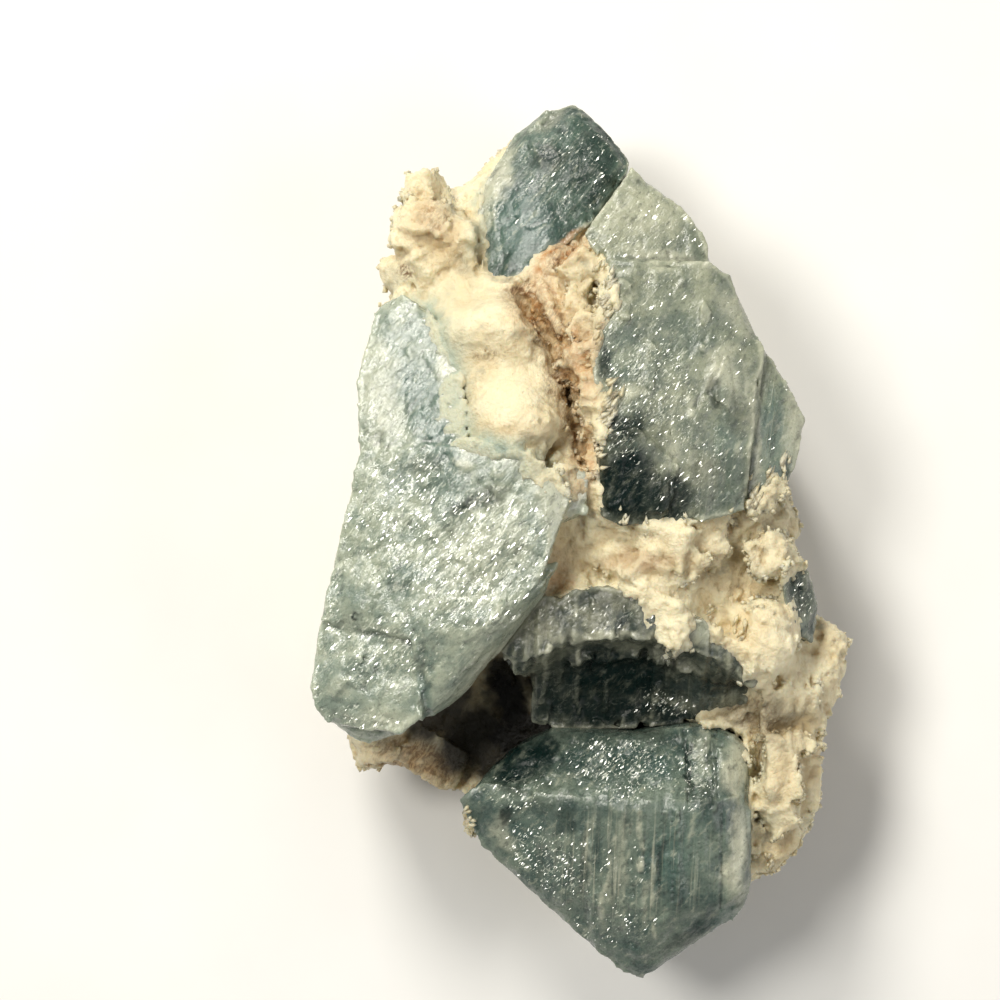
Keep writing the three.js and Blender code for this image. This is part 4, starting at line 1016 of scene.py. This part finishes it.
# For each crystal and each kind of patch: x, y, half sizes, degrees, strength.
CRYSTAL_SPOTS = {
    "crystal_left": {
        "frost_and_painted_light": [
            (-23.4, 17.4, 3.0, 7.4, 8, 0.4), (-14.2, 17, 1.6, 9, 10, 0.6), (-16, 26, 4, 1.6, -30, 0.3),
            # The patch at -8.8, -14.4 on the bevel is partly the bevel's whitish tone and partly painted
            # light on a face turned from the lamps.
            (-8.8, -14.4, 8.0, 2.6, 40, 0.9), (-23, -20.6, 6, 1.4, -5, 0.35),
            (-2.4, 4.6, 3.0, 4.4, 0, 0.55), (-5.4, 9.2, 5.4, 1.8, -20, 0.4),
            (-0.6, 7.0, 2.4, 2.8, 0, 1.0), (-8.6, -9.4, 5.4, 1.6, 10, 0.25), (-11, -1.4, 7, 6, 20, 0.3),
        ],
        "teal": [
            (-17.4, 15.0, 3.6, 9.6, 14, 0.8), (-19.4, 20, 6, 10, 0, 0.3), (-21, -4.6, 3.4, 1.7, 30, 0.5),
            (-24.2, -6.4, 4.4, 1.8, 20, 0.3), (-17.6, -17.2, 0.7, 5.0, 0, 0.6),
            (-16.4, 9.4, 2.2, 3.0, 0, 0.4),
        ],
        "deep": [
            (-12.0, 5.2, 3.2, 1.5, 15, 0.7), (-20.4, -4.4, 1.8, 1.0, 30, 0.4),
            (-17.6, -18, 0.5, 4.4, 0, 0.35), (-18.4, 9.6, 3.0, 1.2, 10, 0.45),
            (-26.3, -8.5, 0.35, 0.45, 0, 1.0),
        ],
        "fleck": [
            (-12.6, -1.6, 10.4, 9.4, 20, 0.95), (-20.4, 2.4, 9.4, 8.4, 50, 0.8),
            (-22.8, -12.6, 6.4, 4.4, 10, 0.9), (-21.4, 18, 7, 11, 0, 0.26),
            (-29.6, -10, 1.6, 9, -10, 0.9), (-26, -20.6, 6, 1.4, 0, 0.7),
            (-12.4, -15.4, 4.4, 2.2, 40, 0.4),
        ],
        "lines": [(-12, -14, 8, 2.4, 40, 0.4)],
    },
    "crystal_right": {
        "frost_and_painted_light": [
            (7.6, 38.6, 6, 5, -40, 0.3), (9.6, 33, 6.6, 1.1, -10, 0.55), (7.7, 37.6, 0.35, 2.8, -8, 0.6),
            (16.9, 19.6, 2.0, 4.2, 12, 0.5), (18.2, 27, 2.4, 3.4, 30, 0.4), (25.6, 14, 1.6, 5, 0, 0.55),
            (11.2, 10.2, 1.4, 1.8, 0, 0.4), (15.4, 7.6, 1.2, 3, 0, 0.35), (5.4, 17.2, 3, 0.9, 15, 0.5),
            (20.4, 12, 0.5, 9, 8, 0.6),
        ],
        "teal": [
            (12, 24, 5.4, 7, 0, 0.2), (22.8, 13, 2.4, 7.4, 5, 0.65), (5.4, 22, 2.4, 4, 0, 0.3),
            (17.2, 9, 3.4, 6, 0, 0.6), (17.6, 16.6, 1.4, 3, 0, 0.5),
        ],
        "deep": [
            (5.2, 6.6, 5.4, 5.8, 0, 1.0), (10.6, 5.0, 3.4, 3.2, 0, 0.95), (5.0, 13.0, 3.6, 2.4, 20, 0.9),
            (17, 7, 5, 4, 0, 0.4), (8, 12, 3, 4, 0, 0.4), (15.4, 17, 1.2, 2.6, 10, 0.55),
            (3.2, 20.6, 0.9, 2.0, 0, 0.8), (18.4, 15, 1.6, 4, 8, 0.4), (15.6, 5.4, 3, 2.2, 0, 0.4),
        ],
        "fleck": [
            (8, 18.6, 6.4, 6.4, 30, 0.55), (6, 24.6, 5, 5, 0, 0.25), (9, 30.4, 3.4, 3.4, 0, 0.15),
            (3.4, 35, 3.4, 2.4, 0, 0.45), (13, 9, 5, 6, 0, 0.2), (5.2, 11.6, 1.6, 3.4, 0, 0.5),
            (14, 14, 10, 16, 0, 0.12), (8, 38, 8, 7, 0, 0.12),
        ],
        "lines": [(14, 8, 6, 7, 0, 0.4), (23, 14, 3, 8, 0, 0.5)],
    },
    "crystal_top": {
        "frost_and_painted_light": [
            (-9.6, 43.6, 1.6, 5.4, -28, 0.7), (-11.2, 36.6, 0.9, 6, 0, 0.7),
            (-3.4, 50.6, 4, 1.2, 35, 0.3),
        ],
        "teal": [(-6.2, 37.6, 4.6, 5.6, 10, 0.75), (-1.4, 34.6, 3, 1.6, 40, 0.4)],
        "deep": [
            (3, 46.4, 3.2, 4.4, -30, 0.55), (-3.2, 45.2, 2.2, 2.0, 0, 0.55),
            (3.2, 41.6, 3.0, 1.4, 45, 0.6), (-0.4, 44, 3, 2, 0, 0.35),
        ],
        "fleck": [(-1, 45, 7, 7, 40, 0.22), (-8.6, 38.4, 3, 5, 0, 0.1), (-1.4, 38.4, 2, 3, 0, 0.2)],
        "lines": [(-2, 44, 7, 6, 0, 0.3)],
    },
    "crystal_middle": {
        "frost_and_painted_light": [
            (2, -11.2, 8, 0.8, 4, 0.4), (15.6, -10.6, 3, 1.6, -20, 0.35), (-4, -11.4, 3.4, 1.2, 30, 0.3),
            (12, -14.4, 3, 0.8, -25, 0.35),
        ],
        "teal": [(16.4, -10.6, 3.4, 2, -20, 0.5)],
        # Painted shade on the wall under the lip, which lies in shade.
        "deep": [
            (4.4, -15.8, 9.0, 4.0, 0, 1.0), (17.2, -16.6, 3.6, 1.5, -8, 0.7),
            (-1.4, -18, 5.4, 3.8, 0, 0.85), (2.6, -6.4, 4.4, 1.2, 0, 0.4), (10, -20.4, 6, 1.8, 0, 0.9),
            (2, -20, 9, 2.4, 0, 0.95),
        ],
        "fleck": [(2, -8.4, 7, 2, 0, 0.25), (11, -19.6, 4, 2, 0, 0.5)],
        "lines": [(4, -17, 14, 5, 0, 0.5)],
    },
    "crystal_bottom": {
        "frost_and_painted_light": [
            (18.9, -36.6, 1.8, 6.8, 0, 0.8), (18.6, -26.6, 1.7, 4.2, 0, 0.8),
            (14.6, -25, 0.9, 3.0, 0, 0.3), (-9.0, -34.6, 1.2, 2.4, 30, 0.4),
            (5.4, -37, 0.8, 5.4, -6, 0.35), (1.2, -37, 0.5, 5, -6, 0.3), (2.8, -50.6, 2.4, 1.4, 0, 0.35),
            (3.4, -41, 0.6, 6, -6, 0.3), (8.4, -41, 0.5, 6, -6, 0.3),
        ],
        "teal": [
            (11.4, -36, 4.2, 5.4, 0, 0.55), (6, -26.6, 6, 2.6, 0, 0.3), (-6, -34, 3, 3, 0, 0.3),
            (17, -45, 3.4, 1.4, 30, 0.5),
        ],
        # Partly painted shade: the shaded facet at the top left, and the slope and strip below
        # crystal_middle's wall.
        "deep": [
            (-6.6, -26.2, 5.4, 3.4, 20, 1.0), (12.9, -26.6, 0.5, 3.8, 0, 0.9),
            (14.8, -29.0, 1.6, 1.8, 0, 0.6), (-8.4, -32.4, 0.9, 1.2, 0, 0.8), (4, -23.4, 10, 1.6, 0, 0.6),
            (13.4, -46.6, 5, 1.2, 28, 0.5), (-1, -32, 1.6, 2.4, 0, 0.4), (15.8, -26, 0.5, 4, 0, 0.5),
            (-4, -30.6, 4, 1.2, 20, 0.3), (3, -26, 8, 3.6, 0, 0.4),
        ],
        "fleck": [
            (5.4, -26, 6.6, 3.6, 0, 0.55), (-3.4, -38, 3.4, 6.4, 42, 0.5), (-7, -29.6, 5, 2.6, 0, 0.35),
            (14, -27, 2.2, 4.4, 0, 0.45), (4, -46, 6, 3, 0, 0.22), (2, -38, 8, 6, 0, 0.1),
        ],
        "lines": [(6, -38, 10, 7.4, 0, 1.0), (18.4, -34, 2.4, 11, 0, 0.4)],
    },
    "crystal_edge": {
        "frost_and_painted_light": [(27.6, -3.4, 1.2, 2.0, 0, 0.4), (26.0, -9.0, 1.4, 1.2, 0, 0.4)],
        "teal": [],
        "deep": [(26.6, -6, 1.6, 4, 0, 0.4)],
        "fleck": [(26, -6, 3, 7, 0, 0.3)],
        "lines": [(26, -6, 3, 7, 0, 0.5)],
    },
}
STAINS = [(-2.4, 34.4, 4.6, 0.7, 42, 0.55), (-2.6, 9, 1.2, 1.0, 0, 0.3)]

ROCK_SPOTS = {
    # Mostly the crevice's iron stain; the patch at 21.4, -20.6 on the shadowed slope is painted shade.
    "brown_and_shade": [
        (-6.4, 29.4, 2.8, 2.8, 30, 0.85), (-3.8, 25, 2.6, 3.8, 25, 0.85), (-1.8, 19.6, 2.2, 4.8, 14, 0.8),
        (-0.4, 13, 1.4, 5, 8, 0.75), (0.6, 6, 0.8, 4, 0, 0.75), (-1.8, 33.8, 1.5, 3.6, -45, 0.9),
        (-16.9, 38.2, 2.4, 2.8, 20, 0.5), (-14, 33.4, 1.6, 2, 0, 0.3), (-20.4, 32.1, 0.9, 0.8, 0, 1.1),
        (-3.2, -6.4, 2.4, 1.0, 25, 0.6), (-5.4, -8.2, 1.0, 2.4, -40, 0.6),
        (-11.2, 21.6, 1.0, 0.8, 0, 0.6), (21, -0.6, 0.8, 3.4, 0, 0.6), (18.6, -5, 1.4, 0.7, 0, 0.5),
        (20.4, 3.8, 1.4, 1.4, 0, 0.3), (21.4, -20.6, 5.4, 2.4, -10, 0.65),
        (-19, -26.6, 7, 3.6, -20, 0.75), (1, 24, 1.4, 5, 0, 0.3),
    ],
    "rust": [
        (-4.6, 27.4, 4.2, 4.4, 30, 0.8), (-0.8, 21, 3.2, 6, 14, 0.8), (0.2, 11, 1.8, 7, 5, 0.6),
        (-1.4, 34.4, 2.0, 4.4, -45, 0.9), (-2.6, 34.6, 1.3, 4.6, -40, 1.1), (-17, 37.6, 3, 4, 20, 0.35),
        (-2.4, -4.4, 2.4, 2.4, 0, 0.5), (-19, -26.6, 6, 3, -20, 0.35),
    ],
    "sand": [
        (1.6, 24, 1.6, 7, 0, 0.45), (-1.8, -0.6, 2.4, 4, -25, 0.6), (-16, 35.4, 4, 6, 20, 0.35),
        (-18.6, -27.6, 6, 3.6, -20, 0.75), (25, -21, 6, 3.0, 0, 0.8), (27.6, -26, 3, 6, 0, 0.4),
        (24, -36, 4, 4, 0, 0.4), (-7.6, 12.6, 4, 1.2, 10, 0.5), (25, -27.5, 2.4, 4, 0, 0.5),
        (11, -2, 6, 2, 0, 0.35),
    ],
    "pink": [(6.4, -2.2, 5.2, 1.5, 0, 0.6), (-2.2, -2.8, 1.8, 2.6, -20, 0.35)],
    # Mostly the rock's milky tone; on the lumps and slope at the right and at crystal_left's right tip,
    # painted light on rock that lies in shade.
    "milk_and_painted_light": [
        (-7.4, 18, 3.8, 4.4, 0, 0.85), (-13, 28, 5.4, 3, 10, 0.6), (24.2, -13.0, 3.4, 4.2, 0, 1.0),
        (3.2, 28.6, 2, 3, 0, 0.7), (10.6, -7.6, 2.4, 3.8, 10, 0.8), (0.2, 1.0, 2.0, 3.2, 0, 0.7),
        (26.4, -24, 4.6, 10, 0, 0.5),
    ],
    # Mostly translucent grey bits; the patch at 25.6, -20.4, by the shadowed slope, is painted shade.
    "grey_and_shade": [
        (-5, 11.4, 3.4, 1.6, 0, 0.4), (22.6, -33.6, 1.8, 2.4, 0, 0.6), (25.6, -20.4, 5, 2, 0, 0.45),
        (-22, 31, 2, 2, 0, 0.4), (21.8, -27, 1.2, 4, 0, 0.4),
    ],
    "ice": [
        (-15.6, 17, 3.4, 11, 8, 1.0), (-9.6, 10.4, 7.4, 2.3, -22, 1.0), (-17.6, 26.6, 4.4, 2.0, -35, 0.9),
        (-11, 40, 0.9, 9, -10, 0.6),
    ],
    # Painted shade: the recess and hole under crystal_left, the crack at the foot of crystal_middle's wall
    # and the shadowed slope right of it go nearly black; two faint spots darken the rock near crystal_edge.
    "painted_shade": [
        (24, 3, 3, 5, 0, 0.12), (18, -3, 5, 3, 0, 0.12), (-15.0, -19.6, 3.4, 2.6, 20, 0.9),
        (-8.6, -16.6, 3.0, 2.6, 30, 0.95), (-8.4, -24.4, 3.0, 3.0, 0, 1.0),
        (-12.4, -24.2, 5.4, 4.2, 35, 0.95), (-7.4, -20.4, 3.0, 7, 20, 1.0),
        (-9.6, -27.4, 3, 2.2, 30, 0.95), (0, -22.6, 14, 1.6, 0, 1.0), (17, -22.8, 3.0, 0.7, -18, 0.9),
        (-16.4, -22.0, 5, 2.4, 20, 0.9), (-4.4, -14, 3, 5, 0, 1.0), (21.6, -20.8, 5.4, 2.4, -10, 0.4),
    ],
}


# ---------------------------------------------------------------- the cluster

# How far in a patch fades, as shares of its size.
SPOT_SOFTNESS = {"ice": (0.3, 1.45), "deep": (0.5, 1.2), "painted_shade": (0.55, 1.25), "fleck": (0.5, 1.25)}
SPOT_SOFTNESS_ELSE = (0.3, 1.3)
# Heights over which a patch comes in.
SPOT_RISE = {"ice": (17, 24), "deep": (12, 20), "frost_and_painted_light": (8, 18)}
SPOT_RISE_ELSE = (-2, -1)


def paint_spots(piece, place, spots, seed):
    for number, (label, patches) in enumerate(spots.items()):
        soft = SPOT_SOFTNESS.get(label, SPOT_SOFTNESS_ELSE)
        share = blots(place, patches, 0.9, seed + 7 * number, soft)
        share *= ease(*SPOT_RISE.get(label, SPOT_RISE_ELSE), place[:, 2])
        paint(piece, label, share)


def build_crystal(name, seed):
    piece, place = dressed_crystal(name, seed)
    paint_spots(piece, place, CRYSTAL_SPOTS[name], 60)
    paint(piece, "stain", blots(place, STAINS, 0.5, 130))
    paint(piece, "crest", ease(0.02, 0.2, crests(place, name)))
    piece.data.materials.append(crystal_material(name, CRYSTAL_LOOKS[name]))
    return piece


def build_rock():
    rock, place = dressed_rock()
    bits, bit_place = loose_bits(rock, place)
    material = rock_material()
    for piece, where in ((rock, place), (bits, bit_place)):
        paint_spots(piece, where, ROCK_SPOTS, 90)
        piece.data.materials.append(material)
    return rock, bits


def build_cluster():
    for number, name in enumerate(CRYSTAL_NAMES):
        piece = build_crystal(name, 500 + 40 * number)
        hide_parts(name)
        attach(piece, "root")
    for piece in build_rock():
        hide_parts("matrix")
        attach(piece, "root")


# ---------------------------------------------------------------- floor, light, camera

# The camera looks straight down from CAMERA_HIGH over the plane PICTURE_Z, which fills FRAME_WIDE across.
PICTURE_Z = 25.0
CAMERA_HIGH = 400.0
FRAME_WIDE = 119.0
PICTURE_MIDDLE = (-9.1, 5.06)
SENSOR = 36.0


def build_floor():
    half = 3.0
    mesh = bpy.data.meshes.new("floor")
    corners = [(-half, -half, 0), (half, -half, 0), (half, half, 0), (-half, half, 0)]
    mesh.from_pydata(corners, [], [(0, 1, 2, 3)])
    floor = bpy.data.objects.new("floor", mesh)
    bpy.context.scene.collection.objects.link(floor)
    shader = Shader("floor")
    speckle = shader.noise(shader.place, 0.05, 3.0)
    floor.data.materials.append(shader.finish(
        Base_Color=shader.mix(speckle, srgb(232, 231, 228), srgb(240, 240, 238)), Roughness=0.7))


def add_softbox(name, place, size, power, colour):
    light = bpy.data.lights.new(name, "AREA")
    light.shape = "DISK"
    light.size = size
    light.energy = power
    light.color = colour
    lamp = bpy.data.objects.new(name, light)
    lamp.location = place
    lamp.rotation_euler = (Vector((0, 0, 0.02)) - Vector(place)).to_track_quat("-Z", "Y").to_euler()
    bpy.context.scene.collection.objects.link(lamp)


def build_light():
    add_softbox("key", (-0.26, 0.62, 0.62), 0.26, 6.0, (1.0, 0.96, 0.88))
    add_softbox("gloss", (-0.4, 0.2, 0.82), 0.26, 4.4, (1.0, 0.97, 0.9))
    add_softbox("side", (0.56, -0.16, 0.5), 0.5, 1.45, (1.0, 0.98, 0.95))
    world = bpy.data.worlds.new("studio")
    bpy.context.scene.world = world
    world.use_nodes = True
    background = world.node_tree.nodes["Background"]
    background.inputs["Color"].default_value = (1.0, 0.99, 0.97, 1.0)
    background.inputs["Strength"].default_value = 0.2


def build_camera():
    data = bpy.data.cameras.new("camera")
    data.sensor_width = SENSOR
    data.lens = SENSOR * CAMERA_HIGH / FRAME_WIDE
    data.clip_start = 0.01
    camera = bpy.data.objects.new("camera", data)
    camera.location = ((PICTURE_MIDDLE[0] + HOME[0]) * MM, (PICTURE_MIDDLE[1] + HOME[1]) * MM,
                       (PICTURE_Z + CAMERA_HIGH) * MM)
    bpy.context.scene.collection.objects.link(camera)
    bpy.context.scene.camera = camera


bpy.context.scene.view_settings.view_transform = "Standard"
build_camera()
build_floor()
build_light()
build_cluster()
